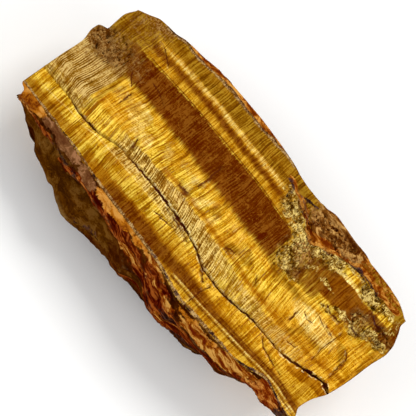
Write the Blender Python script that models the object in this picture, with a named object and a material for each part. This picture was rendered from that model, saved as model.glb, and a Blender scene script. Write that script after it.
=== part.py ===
"""Rough tiger's eye: one broken block of a golden fibre seam, with the ironstone and jasper that grew against it.

Metres, +Z up. X runs along the seam's bands, Y across the seam, which is the way that its fibres run.
The fibre face is up. The origin is at the middle of the block's box, on the plane that it rests on.
The two walls across Y are hard rock that breaks in smooth bowls. The fibre face, the underside and the
two ends break along the fibres, in long ledges. The whole block is one natural solid.

The form is worked out in millimetres: a box cut into rows and columns is bent to the block's outline,
its rows follow the crack and the brown band, and then each side gets its own kind of break.
"""

import bmesh
import bpy
import numpy as np
from mathutils import Vector, noise

MM = 0.001

# Driving dimensions, in millimetres.
TOP_HEIGHT = 33.6  # the fibre face over the plane that the block rests on
REST_MIDDLE_X = -3.0  # the middle of the flat patch that it rests on
REST_LENGTH = 44.0
REST_WIDTH = 25.0
RIND_DROP = 3.8  # the front wall's rind slopes outwards for this far below the fibre face
COLUMNS = 54  # cells along X
ROWS = 24  # cells along Y
LAYERS = 14  # cells along Z
LAYER_CROWDING = 1.3  # over 1 crowds the layers towards the fibre face

# Outlines, as (station, place) in millimetres. The stations run along X, or along Y for the two ends.
FRONT_RIM = (
    (-61, -18.4), (-50, -18.9), (-40, -19.3), (-30, -20.3), (-18, -21.2), (0, -22.1), (8, -23.4),
    (14, -24.7), (24, -24.3), (38, -23.3), (43, -21.7), (48, -20.2), (54, -21.4), (61, -22.1),
)  # fmt: skip
RIND_EDGE = (
    (-61, -22.4), (-50, -22.8), (-40, -23.4), (-28, -24.4), (-10, -25.4), (8, -27.4), (18, -28.5),
    (30, -27.6), (40, -26.4), (48, -24.2), (61, -25.0),
)  # fmt: skip
FRONT_BELLY = (
    (-61, -23.2), (-50, -23.4), (-46.5, -26.6), (-44, -29.2), (-40, -28.9), (-34, -28.2),
    (-29, -30.9), (-26, -31.6), (-22, -31.1), (-16, -30.0), (-11, -31.2), (-6, -31.9), (3, -29.9),
    (7.5, -31.3), (11, -31.8), (20, -30.3), (25, -30.7), (29, -29.3), (34, -26.6), (40, -28.1),
    (50, -24.6), (61, -24.6),
)  # fmt: skip
FRONT_FOOT = (
    (-61, -20.8), (-48, -21.6), (-38, -22.6), (-26, -25.0), (-14, -23.6), (8, -23.8), (24, -22.6),
    (35, -20.6), (44, -20.4), (52, -21.8), (61, -22.8),
)  # fmt: skip
BACK_RIM = (
    (-57, 21.6), (-53, 23.9), (-50, 25.7), (-44, 26.6), (-41, 27.6), (-34, 28.5), (-28, 29.5),
    (-12, 29.8), (0, 29.2), (7, 28.3), (11, 27.5), (19, 27.1), (26, 28.9), (34, 28.2), (39, 28.0),
    (43, 27.1), (48, 27.1), (55, 26.5), (58, 25.6), (61, 24.0),
)  # fmt: skip
BACK_FOOT = ((-57, 16.5), (-44, 21.0), (-28, 24.5), (-8, 23.0), (14, 24.0), (34, 22.0), (61, 17.5))
LEFT_END = (
    (-21.5, -61.2), (-18, -61.0), (-12, -60.6), (-5, -60.2), (3, -59.5), (7.5, -60.4), (9.6, -60.2),
    (11.6, -57.6), (17, -57.8), (21.4, -56.4),
)  # fmt: skip
RIGHT_END = (
    (-23, 59.6), (-21, 61.0), (-18, 59.6), (-14, 60.2), (-9, 62.2), (-1, 63.4), (6, 63.9),
    (13, 64.8), (19, 62.8), (21.6, 61.4),
)  # fmt: skip
UNDER_FRONT = (
    (-61, 23.0), (-55, 18.5), (-50, 13.0), (-45, 7.4), (-39, 2.6), (-33, 0.2), (28, 0.2), (35, 3.2),
    (42, 9.0), (50, 17.6), (56, 22.0), (62, 23.5),
)  # fmt: skip
UNDER_BACK = (
    (-61, 16.0), (-56, 14.5), (-52, 9.0), (-47, 7.5), (-42, 2.4), (-37, 0.2), (36, 0.2), (41, 3.2),
    (46, 4.6), (50, 9.4), (56, 11.6), (60, 16.4), (63, 18.0),
)  # fmt: skip

# Lines across the fibre face, as (x, y) in millimetres.
CRACK = (
    (-61, -10.9), (-50, -11.2), (-43, -11.9), (-38, -11.8), (-28, -9.3), (-16, -9.0), (-4, -9.6),
    (6, -11.4), (13, -13.7), (20, -14.1), (34, -12.2), (44, -12.0), (54, -9.3), (59, -7.9), (63, -9.4),
)  # fmt: skip
BAND_FRONT = ((-61, 5.2), (-40, 5.0), (0, 3.7), (20, 2.6), (40, 5.0), (63, 8.0))
BAND_BACK = ((-61, 13.0), (-44, 14.8), (-20, 15.4), (4, 15.2), (20, 14.0), (40, 16.0), (63, 12.0))
RUST_SEAM = (
    (6, 25.5), (15, 23.6), (21, 21.0), (26, 18.6), (31, 20.8), (38, 23.0), (45, 24.2), (52, 23.6), (60, 23.8),
)  # fmt: skip

# Relief of the fibre face, in millimetres.
CRACK_STEP = 0.8  # the slab behind the crack stands this much higher
CRACK_DEPTH = 1.2
CRACK_OPEN = (
    (-61, 0.2), (-52, 0.3), (-43, 1.0), (-34, 0.7), (-26, 0.45), (-8, 0.6), (6, 0.9), (15, 1.0),
    (26, 0.8), (38, 0.5), (50, 0.8), (58, 1.6), (63, 1.3),
)  # fmt: skip
LOWER_SEAM_FALL = 1.3  # how far the strip in front of the crack slopes down to the rim
BACK_FALL = 1.7
LEFT_STEP = 0.7  # a break across the fibres at LEFT_STEP_X, with the lower side on the left
LEFT_STEP_X = -44.0
SCARP_DROP = 1.3  # the brown band's slab ends at SCARP_X, over broken ground
SCARP_X = 21.5
RUST_SEAM_DEPTH = 1.5
RUBBLE_RELIEF = 1.1
# Patches of broken ground, as (x, y, half length, half width).
RUBBLE = (
    (18, 19.0, 6, 4.0), (26, 11.0, 5.5, 7.5), (34, 18.0, 5, 3.0), (30, 24.5, 10, 3.0), (50, 20.5, 5, 3.0),
    (53, 11.5, 4, 3.5), (60, 13.5, 5, 2.5), (-53, 8.5, 7, 5.0),
)  # fmt: skip

# Breaks of the sides.
BOWL_PITCH = 14.0  # between the middles of the bowls in the two walls
BOWL_CURVE = 11.0  # a bowl's radius of curvature
LEDGE_STEP = 1.5  # height of a ledge across the fibres
SEED_FRONT = 11
SEED_BACK = 24


def curve(points, stations):
    """Reads a smooth curve through (station, value) points. It never swings past the points."""
    knots = np.array(points, dtype=float)
    place, value = knots[:, 0], knots[:, 1]
    chord = np.diff(value) / np.diff(place)
    before, after = chord[:-1], chord[1:]
    same_way = before * after > 0
    slope = np.concatenate([chord[:1], np.zeros(len(before)), chord[-1:]])
    slope[1:-1][same_way] = 2 * (before * after)[same_way] / (before + after)[same_way]
    at = np.clip(stations, place[0], place[-1])
    left = np.clip(np.searchsorted(place, at) - 1, 0, len(place) - 2)
    gap = place[left + 1] - place[left]
    t = (at - place[left]) / gap
    rise = value[left] * (1 + 2 * t) * (1 - t) ** 2 + value[left + 1] * t * t * (3 - 2 * t)
    turn = slope[left] * t * (1 - t) ** 2 - slope[left + 1] * t * t * (1 - t)
    return rise + turn * gap


def ramp(start, end, at):
    """0 before start, 1 past end, smooth between."""
    t = np.clip((at - start) / (end - start), 0.0, 1.0)
    return t * t * (3 - 2 * t)


def mix(low, high, share):
    return low + (high - low) * share


def grain(x, y, z, length):
    """Smooth noise between -1 and 1. length is its size along each axis."""
    scaled = np.stack([x / length[0], y / length[1], z / length[2]], axis=-1)
    return np.array([noise.noise(Vector(place)) for place in scaled])


def terraces(height, step):
    """Turns a smooth height into flat treads with short risers."""
    level = height / step
    tread = np.floor(level)
    return (tread + ramp(0.68, 1.0, level - tread)) * step


def bowl_centres(seed, low, high):
    """Middle, starting depth, radius and slant of the bowls over a wall from x = low to high."""
    draw = np.random.default_rng(seed)
    across = np.arange(low, high, BOWL_PITCH)
    up = np.arange(-4.0, TOP_HEIGHT + BOWL_PITCH, BOWL_PITCH * 0.8)
    grid = np.array([(a, b) for a in across for b in up])
    grid += draw.uniform(-0.45, 0.45, grid.shape) * BOWL_PITCH
    start = draw.uniform(0.0, 1.8, len(grid))
    return grid, start, BOWL_CURVE * draw.uniform(0.7, 1.9, len(grid)), draw.uniform(-0.2, 0.9, len(grid))


def bowls(x, z, seed):
    """Depth of smooth bowls that meet in sharp ridges: 0 at the highest ridges."""
    grid, start, radius, slant = bowl_centres(seed, -70.0, 72.0)
    from_z = z[:, None] - grid[None, :, 1]
    from_x = x[:, None] - grid[None, :, 0] + slant[None, :] * from_z
    depth = (from_x**2 + from_z**2 * 1.5) / (2 * radius[None, :]) + start[None, :]
    return np.minimum(depth.min(axis=1) - 3.2, 0.0)


def rubble_share(x, y):
    """1 inside a patch of broken ground, 0 well outside all of them."""
    share = np.zeros_like(x)
    for middle_x, middle_y, half_length, half_width in RUBBLE:
        reach = np.hypot((x - middle_x) / half_length, (y - middle_y) / half_width)
        share = np.maximum(share, 1 - ramp(0.75, 1.25, reach))
    return share


def face_height(x, y):
    """Height of the fibre face over the plane that the block rests on."""
    past_crack = y - curve(CRACK, x)
    height = TOP_HEIGHT - 0.5 * ramp(30, 62, np.abs(x - 1.5))
    height = height - CRACK_STEP * (1 - ramp(-0.3, 0.8, past_crack))
    height -= CRACK_DEPTH * curve(CRACK_OPEN, x) * np.exp(-((past_crack / 0.8) ** 2))
    height -= LOWER_SEAM_FALL * ramp(2, 14, -past_crack)
    behind_band = y - curve(BAND_BACK, x)
    height -= BACK_FALL * ramp(3, 14, behind_band)
    height -= 0.35 * ramp(-0.5, 0.5, behind_band)
    beside_step = (1 - ramp(LEFT_STEP_X - 0.8, LEFT_STEP_X + 0.8, x)) * ramp(-11, -9, y) * (1 - ramp(12, 16, y))
    height -= LEFT_STEP * beside_step
    past_scarp = ramp(SCARP_X - 1.2, SCARP_X + 1.2, x) * ramp(2, 5, y)
    height -= SCARP_DROP * past_scarp * (1 - 0.6 * ramp(34, 44, x))
    from_seam = y - curve(RUST_SEAM, x)
    along_seam = ramp(7, 14, x) * (1 - ramp(56, 61, x))
    height -= RUST_SEAM_DEPTH * along_seam * np.exp(-((from_seam / 1.7) ** 2))
    broken = rubble_share(x, y)
    height += RUBBLE_RELIEF * broken * (1.4 * grain(x, y, 0 * x, (3.4, 2.6, 1.0)) - 0.5)
    height += 0.25 * grain(x, y, 0 * x, (9.0, 40.0, 1.0)) + 0.25 * grain(x, y, 0 * x, (24.0, 20.0, 1.0))
    return height


def under_height(x, y):
    """Height of the underside. Long ledges run along the fibres, and what would reach lower is the rest patch."""
    height = mix(curve(UNDER_FRONT, x), curve(UNDER_BACK, x), ramp(-20, 22, y))
    height = height + 3.4 * ramp(13, 26, y) + 3.0 * ramp(13, 25, -y)
    roll = 2.8 * grain(x + 70, y, 0 * x, (12.0, 36.0, 1.0)) + 1.2 * grain(x, y + 50, 0 * x, (4.5, 17.0, 1.0))
    rough = terraces(roll + 0.07 * x, LEDGE_STEP) - 0.07 * x
    height = height + rough * mix(1.3, 0.5, ramp(11, 21, np.abs(y))) + 1.1
    from_middle = np.hypot((x - REST_MIDDLE_X) / (REST_LENGTH / 2), y / (REST_WIDTH / 2))
    height = height - 6.0 * (1 - ramp(0.75, 1.5, from_middle))
    return np.maximum(height, 0.0)


def front_wall(x, share, depth):
    """y of the front wall. share is 1 at the fibre face and 0 at the underside, depth is down from the face."""
    rind = mix(curve(FRONT_RIM, x), curve(RIND_EDGE, x), np.clip(depth / RIND_DROP, 0, 1) ** 0.8)
    skin = mix(rind, curve(FRONT_BELLY, x), ramp(RIND_DROP - 1, RIND_DROP + 11, depth))
    wall = mix(skin, curve(FRONT_FOOT, x), 1 - ramp(0.0, 0.6, share))
    cut = bowls(x, TOP_HEIGHT - depth, SEED_FRONT)
    return wall - cut * ramp(RIND_DROP - 2, RIND_DROP + 3, depth) * ramp(-0.35, 0.3, share)


def back_wall(x, share, depth):
    """y of the back wall, which leans in towards the underside."""
    rim = curve(BACK_RIM, x)
    wall = mix(rim, curve(BACK_FOOT, x), 1 - ramp(-0.25, 1.0, share))
    cut = bowls(x, TOP_HEIGHT - depth, SEED_BACK)
    return wall + cut * 0.9 * ramp(0.8, 6.0, depth) * ramp(-0.35, 0.3, share) + 0.8 * ramp(0, 3, depth)


def end_ledges(y, z, side):
    """How far an end is broken back: splinters and ledges that run along the fibres."""
    roll = 2.1 * grain(side * 40 + 0 * y, y, z, (1.0, 19.0, 6.5)) + 0.9 * grain(side * 9 + 0 * y, y, z, (1.0, 7.0, 2.6))
    return terraces(roll + 2.4, 1.1) * 0.8


def row_share(column_x, row, share):
    """How far across the block a row lies. On the fibre face the rows follow the crack and the band."""
    rim_front, rim_back = curve(FRONT_RIM, column_x), curve(BACK_RIM, column_x)
    crack = curve(CRACK, column_x)
    lines = (
        (0, rim_front), (5, crack - 1.2), (6, crack - 0.1), (7, crack + 0.9),
        (12, curve(BAND_FRONT, column_x)), (16, curve(BAND_BACK, column_x)), (ROWS, rim_back),
    )  # fmt: skip
    place = np.zeros_like(column_x)
    for (start, low), (end, high) in zip(lines, lines[1:]):
        here = (row >= start) & (row <= end)
        place = np.where(here, mix(low, high, (row - start) / (end - start)), place)
    on_face = (place - rim_front) / (rim_back - rim_front)
    return mix(row / ROWS, on_face, share)


def bent_to_form(u, v, w):
    """Takes places in the unit box to places on the block, in millimetres."""
    share = 1 - (1 - w) ** LAYER_CROWDING
    row = np.round(v * ROWS, 6)
    x = mix(-60.0, 62.5, u)
    for _ in range(3):
        depth = (1 - share) * (TOP_HEIGHT - 6)
        y = mix(curve(FRONT_RIM, x), curve(BACK_RIM, x), row_share(x, row, share))
        height = TOP_HEIGHT - depth
        left = curve(LEFT_END, y) + end_ledges(y, height, -1) * (1 - ramp(0.85, 1.0, share)) + 1.6 * (1 - share)
        right = curve(RIGHT_END, y) - end_ledges(y, height, 1) * (1 - ramp(0.85, 1.0, share)) - 1.6 * (1 - share)
        x = mix(left, right, u)
    tall = face_height(x, y) - under_height(x, y)
    depth = (1 - share) * tall
    y = mix(front_wall(x, share, depth), back_wall(x, share, depth), row_share(x, row, share))
    z = mix(under_height(x, y), face_height(x, y), share)
    return np.stack([x, y, z], axis=-1)


def cut_box(cells):
    """A unit box, from 0 to 1 on each axis, cut into cells along each axis."""
    box = bmesh.new()
    bmesh.ops.create_cube(box, size=1.0)
    bmesh.ops.translate(box, verts=box.verts, vec=(0.5, 0.5, 0.5))
    for axis, count in enumerate(cells):
        along = [edge for edge in box.edges if abs((edge.verts[0].co - edge.verts[1].co)[axis]) > 0.99]
        bmesh.ops.subdivide_edges(box, edges=along, cuts=count - 1, use_grid_fill=True)
    return box


def stone_material():
    material = bpy.data.materials.new("tigers_eye")
    material.use_nodes = True
    shader = material.node_tree.nodes["Principled BSDF"]
    shader.inputs["Base Color"].default_value = (0.42, 0.20, 0.03, 1.0)
    shader.inputs["Roughness"].default_value = 0.42
    shader.inputs["Metallic"].default_value = 0.0
    return material


def make_stone():
    """The block, as one closed solid whose origin is at the middle of its foot."""
    block = cut_box((COLUMNS, ROWS, LAYERS))
    unit = np.array([vert.co[:] for vert in block.verts])
    form = bent_to_form(unit[:, 0], unit[:, 1], unit[:, 2])
    middle = (form.min(axis=0) + form.max(axis=0)) / 2
    middle[2] = form[:, 2].min()
    for vert, place in zip(block.verts, (form - middle) * MM):
        vert.co = place
    bmesh.ops.triangulate(block, faces=block.faces, quad_method="SHORT_EDGE")
    bmesh.ops.recalc_face_normals(block, faces=block.faces)
    mesh = bpy.data.meshes.new("tigers_eye_stone")
    block.to_mesh(mesh)
    block.free()
    mesh.shade_smooth()
    mesh.set_sharp_from_angle(angle=np.radians(32))
    mesh.materials.append(stone_material())
    stone = bpy.data.objects.new("tigers_eye_stone", mesh)
    bpy.context.scene.collection.objects.link(stone)
    return stone


for leftover in list(bpy.data.objects):
    bpy.data.objects.remove(leftover)
make_stone()
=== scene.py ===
"""Looks of the rough tiger's eye: a fine mesh of the same block, its ground worked out zone by zone, and one
procedural stone material, on a pale studio floor.

The block's form is worked out in millimetres, in the same way as its plain solid: a box cut into rows and
columns is bent to the outline, the rows follow the crack and the brown band, and each side gets its own
break. Finished meshes are in metres, in the frame's own coordinates. X runs along the bands, Y along the
fibres.
"""

import logging
import math
from dataclasses import dataclass, field, replace
from enum import Enum

import bmesh
import bpy
import numpy as np
from mathutils import Matrix, Vector, noise


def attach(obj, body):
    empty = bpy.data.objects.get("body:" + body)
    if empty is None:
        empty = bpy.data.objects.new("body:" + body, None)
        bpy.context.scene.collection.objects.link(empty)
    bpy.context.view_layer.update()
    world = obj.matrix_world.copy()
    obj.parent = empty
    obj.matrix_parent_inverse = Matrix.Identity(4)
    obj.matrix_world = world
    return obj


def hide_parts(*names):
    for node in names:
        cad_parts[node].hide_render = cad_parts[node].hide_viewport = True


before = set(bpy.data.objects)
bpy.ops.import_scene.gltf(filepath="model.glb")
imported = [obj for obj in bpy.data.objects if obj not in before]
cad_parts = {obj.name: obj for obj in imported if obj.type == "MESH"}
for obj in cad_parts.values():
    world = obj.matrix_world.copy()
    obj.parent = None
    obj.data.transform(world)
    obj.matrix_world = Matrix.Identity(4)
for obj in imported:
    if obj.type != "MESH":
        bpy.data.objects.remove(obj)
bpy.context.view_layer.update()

LOG = logging.getLogger("tigers_eye")
MM = 0.001
NODE = "tigers_eye_stone"
DARK_STOP, LIGHT_STOP = 0.08, 0.92  # where a zone's dark and light tones sit on its ramp
NEAR_SIDE, FAR_SIDE = 0.0001, 0.9999  # places in the unit box that count as on its sides

Array = np.ndarray
Socket = bpy.types.NodeSocket
Pair = tuple[float, float]
Triple = tuple[float, float, float]
Quad = tuple[float, float, float, float]
Points = tuple[Pair, ...]


# ---------------------------------------------------------------- small tools


def curve(points: Points, stations: Array) -> Array:
    """Reads a smooth curve that never swings past its points.

    Args:
        points: (station, value) pairs, with rising stations.
        stations: where to read it.

    Returns:
        The value at each station.
    """
    knots = np.array(points, dtype=float)
    place, value = knots[:, 0], knots[:, 1]
    chord = np.diff(value) / np.diff(place)
    before, after = chord[:-1], chord[1:]
    same_way = before * after > 0
    slope = np.concatenate([chord[:1], np.zeros(len(before)), chord[-1:]])
    slope[1:-1][same_way] = 2 * (before * after)[same_way] / (before + after)[same_way]
    at = np.clip(stations, place[0], place[-1])
    left = np.clip(np.searchsorted(place, at) - 1, 0, len(place) - 2)
    gap = place[left + 1] - place[left]
    t = (at - place[left]) / gap
    rise = value[left] * (1 + 2 * t) * (1 - t) ** 2 + value[left + 1] * t * t * (3 - 2 * t)
    turn = slope[left] * t * (1 - t) ** 2 - slope[left + 1] * t * t * (1 - t)
    return rise + turn * gap


def ramp(start: float, end: float, at: Array) -> Array:
    """Returns 0 before start and 1 past end, smooth between."""
    t = np.clip((at - start) / (end - start), 0.0, 1.0)
    return t * t * (3 - 2 * t)


def ridge(away: Array, width: float) -> Array:
    """Returns 1 where away is 0, fading to 0 past a width either side."""
    return np.exp(-((away / width) ** 2))


def mix(low: Array, high: Array, share: Array) -> Array:
    """Returns low where share is 0 and high where it is 1."""
    return low + (high - low) * share


def grain(x: Array, y: Array, z: Array, length: Triple) -> Array:
    """Smooth noise.

    Args:
        x, y, z: places in millimetres.
        length: the noise's size along each axis, in millimetres.

    Returns:
        Values between -1 and 1.
    """
    scaled = np.stack([x / length[0], y / length[1], z / length[2]], axis=-1)
    return np.array([noise.noise(Vector(place)) for place in scaled])


def chips(x: Array, y: Array, z: Array, size: float) -> tuple[Array, Array]:
    """Broken chips packed side by side.

    Args:
        x, y, z: places in millimetres.
        size: how wide a chip is, in millimetres.

    Returns:
        How far each place is inside its chip, from 0 at a joint, and a value between 0 and 1 for the chip.
    """
    scaled = np.stack([x, y, z], axis=-1) / size
    inside, level = [], []
    for place in scaled:
        distance, middle = noise.voronoi(Vector(place))
        inside.append(distance[1] - distance[0])
        level.append(noise.cell(middle[0] * 7.3))
    return np.array(inside), np.array(level)


def terraces(height: Array, step: float) -> Array:
    """Turns a smooth height into flat treads with short risers."""
    level = height / step
    tread = np.floor(level)
    return (tread + ramp(0.68, 1.0, level - tread)) * step


def paint(code: str) -> Quad:
    """Turns a colour such as E5A815 into the linear values that a shader reads."""
    parts = [int(code[i : i + 2], 16) / 255 for i in (0, 2, 4)]
    linear = [part / 12.92 if part <= 0.04045 else ((part + 0.055) / 1.055) ** 2.4 for part in parts]
    return (*linear, 1.0)


def link(item: bpy.types.Object) -> None:
    """Adds an object to the scene."""
    bpy.context.scene.collection.objects.link(item)


# ---------------------------------------------------------------- the block's form


@dataclass(frozen=True)
class Form:
    """The block's outline and breaks, in millimetres, as its plain solid has them."""

    top_height: float = 33.6
    rest_middle_x: float = -3.0
    rest_length: float = 44.0
    rest_width: float = 25.0
    rind_drop: float = 3.8
    cells: tuple[int, int, int] = (54, 24, 14)
    layer_crowding: float = 1.3

    front_rim: Points = (
        (-61, -18.4), (-50, -18.9), (-40, -19.3), (-30, -20.3), (-18, -21.2), (0, -22.1), (8, -23.4),
        (14, -24.7), (24, -24.3), (38, -23.3), (43, -21.7), (48, -20.2), (54, -21.4), (61, -22.1),
    )  # fmt: skip
    rind_edge: Points = (
        (-61, -22.4), (-50, -22.8), (-40, -23.4), (-28, -24.4), (-10, -25.4), (8, -27.4), (18, -28.5),
        (30, -27.6), (40, -26.4), (48, -24.2), (61, -25.0),
    )  # fmt: skip
    front_belly: Points = (
        (-61, -23.2), (-50, -23.4), (-46.5, -26.6), (-44, -29.2), (-40, -28.9), (-34, -28.2), (-29, -30.9),
        (-26, -31.6), (-22, -31.1), (-16, -30.0), (-11, -31.2), (-6, -31.9), (3, -29.9), (7.5, -31.3),
        (11, -31.8), (20, -30.3), (25, -30.7), (29, -29.3), (34, -26.6), (40, -28.1), (50, -24.6),
        (61, -24.6),
    )  # fmt: skip
    front_foot: Points = (
        (-61, -20.8), (-48, -21.6), (-38, -22.6), (-26, -25.0), (-14, -23.6), (8, -23.8), (24, -22.6),
        (35, -20.6), (44, -20.4), (52, -21.8), (61, -22.8),
    )  # fmt: skip
    back_rim: Points = (
        (-57, 21.6), (-53, 23.9), (-50, 25.7), (-44, 26.6), (-41, 27.6), (-34, 28.5), (-28, 29.5),
        (-12, 29.8), (0, 29.2), (7, 28.3), (11, 27.5), (19, 27.1), (26, 28.9), (34, 28.2), (39, 28.0),
        (43, 27.1), (48, 27.1), (55, 26.5), (58, 25.6), (61, 24.0),
    )  # fmt: skip
    back_foot: Points = (
        (-57, 16.5), (-44, 21.0), (-28, 24.5), (-8, 23.0), (14, 24.0), (34, 22.0), (61, 17.5),
    )  # fmt: skip
    left_end: Points = (
        (-21.5, -61.2), (-18, -61.0), (-12, -60.6), (-5, -60.2), (3, -59.5), (7.5, -60.4), (9.6, -60.2),
        (11.6, -57.6), (17, -57.8), (21.4, -56.4),
    )  # fmt: skip
    right_end: Points = (
        (-23, 59.6), (-21, 61.0), (-18, 59.6), (-14, 60.2), (-9, 62.2), (-1, 63.4), (6, 63.9), (13, 64.8),
        (19, 62.8), (21.6, 61.4),
    )  # fmt: skip
    under_front: Points = (
        (-61, 23.0), (-55, 18.5), (-50, 13.0), (-45, 7.4), (-39, 2.6), (-33, 0.2), (28, 0.2), (35, 3.2),
        (42, 9.0), (50, 17.6), (56, 22.0), (62, 23.5),
    )  # fmt: skip
    under_back: Points = (
        (-61, 16.0), (-56, 14.5), (-52, 9.0), (-47, 7.5), (-42, 2.4), (-37, 0.2), (36, 0.2), (41, 3.2),
        (46, 4.6), (50, 9.4), (56, 11.6), (60, 16.4), (63, 18.0),
    )  # fmt: skip
    crack: Points = (
        (-61, -10.9), (-50, -11.2), (-43, -11.9), (-38, -11.8), (-28, -9.3), (-16, -9.0), (-4, -9.6),
        (6, -11.4), (13, -13.7), (20, -14.1), (34, -12.2), (44, -12.0), (54, -9.3), (59, -7.9), (63, -9.4),
    )  # fmt: skip
    band_front: Points = ((-61, 5.2), (-40, 5.0), (0, 3.7), (20, 2.6), (40, 5.0), (63, 8.0))
    band_back: Points = ((-61, 13.0), (-44, 14.8), (-20, 15.4), (4, 15.2), (20, 14.0), (40, 16.0), (63, 12.0))
    rust_seam: Points = (
        (6, 25.5), (15, 23.6), (21, 21.0), (26, 18.6), (31, 20.8), (38, 23.0), (45, 24.2), (52, 23.6),
        (60, 23.8),
    )  # fmt: skip
    crack_open: Points = (
        (-61, 0.2), (-52, 0.3), (-43, 1.0), (-34, 0.7), (-26, 0.45), (-8, 0.6), (6, 0.9), (15, 1.0),
        (26, 0.8), (38, 0.5), (50, 0.8), (58, 1.6), (63, 1.3),
    )  # fmt: skip
    rubble: tuple[Quad, ...] = (
        (18, 19.0, 6, 4.0), (26, 11.0, 5.5, 7.5), (34, 18.0, 5, 3.0), (30, 24.5, 10, 3.0), (50, 20.5, 5, 3.0),
        (53, 11.5, 4, 3.5), (60, 13.5, 5, 2.5), (-53, 8.5, 7, 5.0),
    )  # fmt: skip

    crack_step: float = 0.8
    crack_slope: float = 1.1
    crack_groove: float = 0.8
    crack_depth: float = 1.2
    lower_seam_fall: float = 1.3
    back_fall: float = 1.7
    left_step: float = 0.7
    left_step_x: float = -44.0
    scarp_drop: float = 1.3
    scarp_x: float = 21.5
    rust_seam_depth: float = 1.5
    rust_seam_width: float = 1.7
    rubble_relief: float = 1.1
    bowl_pitch: float = 14.0
    bowl_curve: float = 11.0
    ledge_step: float = 1.5
    seed_front: int = 11
    seed_back: int = 24

    def bowls(self, x: Array, z: Array, seed: int) -> Array:
        """Depth of smooth bowls that meet in sharp ridges, over a wall.

        Args:
            x, z: places on the wall.
            seed: which draw of bowls.

        Returns:
            0 at the highest ridges, and less than 0 in the bowls.
        """
        draw = np.random.default_rng(seed)
        across = np.arange(-70.0, 72.0, self.bowl_pitch)
        up = np.arange(-4.0, self.top_height + self.bowl_pitch, self.bowl_pitch * 0.8)
        middles = np.array([(a, b) for a in across for b in up])
        middles += draw.uniform(-0.45, 0.45, middles.shape) * self.bowl_pitch
        start = draw.uniform(0.0, 1.8, len(middles))
        radius = self.bowl_curve * draw.uniform(0.7, 1.9, len(middles))
        slant = draw.uniform(-0.2, 0.9, len(middles))
        from_z = z[:, None] - middles[None, :, 1]
        from_x = x[:, None] - middles[None, :, 0] + slant[None, :] * from_z
        depth = (from_x**2 + from_z**2 * 1.5) / (2 * radius[None, :]) + start[None, :]
        return np.minimum(depth.min(axis=1) - 3.2, 0.0)

    def rubble_share(self, x: Array, y: Array) -> Array:
        """Returns 1 inside a patch of broken ground and 0 well outside all of them."""
        share = np.zeros_like(x)
        for middle_x, middle_y, half_length, half_width in self.rubble:
            reach = np.hypot((x - middle_x) / half_length, (y - middle_y) / half_width)
            share = np.maximum(share, 1 - ramp(0.75, 1.25, reach))
        return share

    def face_height(self, x: Array, y: Array) -> Array:
        """Returns the height of the fibre face over the plane that the block rests on."""
        past_crack = y - curve(self.crack, x)
        height = self.top_height - 0.5 * ramp(30, 62, np.abs(x - 1.5))
        height = height - self.crack_step * (1 - ramp(-0.3, self.crack_slope - 0.3, past_crack))
        height -= self.crack_depth * curve(self.crack_open, x) * ridge(past_crack, self.crack_groove)
        height -= self.lower_seam_fall * ramp(2, 14, -past_crack)
        behind_band = y - curve(self.band_back, x)
        height -= self.back_fall * ramp(3, 14, behind_band)
        height -= 0.35 * ramp(-0.5, 0.5, behind_band)
        step = self.left_step_x
        beside_step = (1 - ramp(step - 0.8, step + 0.8, x)) * ramp(-11, -9, y) * (1 - ramp(12, 16, y))
        height -= self.left_step * beside_step
        past_scarp = ramp(self.scarp_x - 1.2, self.scarp_x + 1.2, x) * ramp(2, 5, y)
        height -= self.scarp_drop * past_scarp * (1 - 0.6 * ramp(34, 44, x))
        from_seam = y - curve(self.rust_seam, x)
        along_seam = ramp(7, 14, x) * (1 - ramp(56, 61, x))
        height -= self.rust_seam_depth * along_seam * ridge(from_seam, self.rust_seam_width)
        broken = self.rubble_share(x, y)
        height += self.rubble_relief * broken * (1.4 * grain(x, y, 0 * x, (3.4, 2.6, 1.0)) - 0.5)
        height += 0.25 * grain(x, y, 0 * x, (9.0, 40.0, 1.0)) + 0.25 * grain(x, y, 0 * x, (24.0, 20.0, 1.0))
        return height

    def under_height(self, x: Array, y: Array) -> Array:
        """Returns the height of the underside, with ledges along the fibres and 0 where it rests."""
        height = mix(curve(self.under_front, x), curve(self.under_back, x), ramp(-20, 22, y))
        height = height + 3.4 * ramp(13, 26, y) + 3.0 * ramp(13, 25, -y)
        flat = 0 * x
        roll = 2.8 * grain(x + 70, y, flat, (12.0, 36.0, 1.0))
        roll = roll + 1.2 * grain(x, y + 50, flat, (4.5, 17.0, 1.0))
        rough = terraces(roll + 0.07 * x, self.ledge_step) - 0.07 * x
        height = height + rough * mix(1.3, 0.5, ramp(11, 21, np.abs(y))) + 1.1
        from_middle = np.hypot((x - self.rest_middle_x) / (self.rest_length / 2), y / (self.rest_width / 2))
        height = height - 6.0 * (1 - ramp(0.75, 1.5, from_middle))
        return np.maximum(height, 0.0)

    def front_wall(self, x: Array, share: Array, depth: Array) -> Array:
        """Returns y of the front wall, share up it and depth below the fibre face."""
        down_rind = np.clip(depth / self.rind_drop, 0, 1) ** 0.8
        rind = mix(curve(self.front_rim, x), curve(self.rind_edge, x), down_rind)
        skin = mix(rind, curve(self.front_belly, x), ramp(self.rind_drop - 1, self.rind_drop + 11, depth))
        wall = mix(skin, curve(self.front_foot, x), 1 - ramp(0.0, 0.6, share))
        cut = self.bowls(x, self.top_height - depth, self.seed_front)
        return wall - cut * ramp(self.rind_drop - 2, self.rind_drop + 3, depth) * ramp(-0.35, 0.3, share)

    def back_wall(self, x: Array, share: Array, depth: Array) -> Array:
        """Returns y of the back wall, share up it and depth below the fibre face."""
        rim = curve(self.back_rim, x)
        wall = mix(rim, curve(self.back_foot, x), 1 - ramp(-0.25, 1.0, share))
        cut = self.bowls(x, self.top_height - depth, self.seed_back)
        return wall + cut * 0.9 * ramp(0.8, 6.0, depth) * ramp(-0.35, 0.3, share) + 0.8 * ramp(0, 3, depth)

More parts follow.
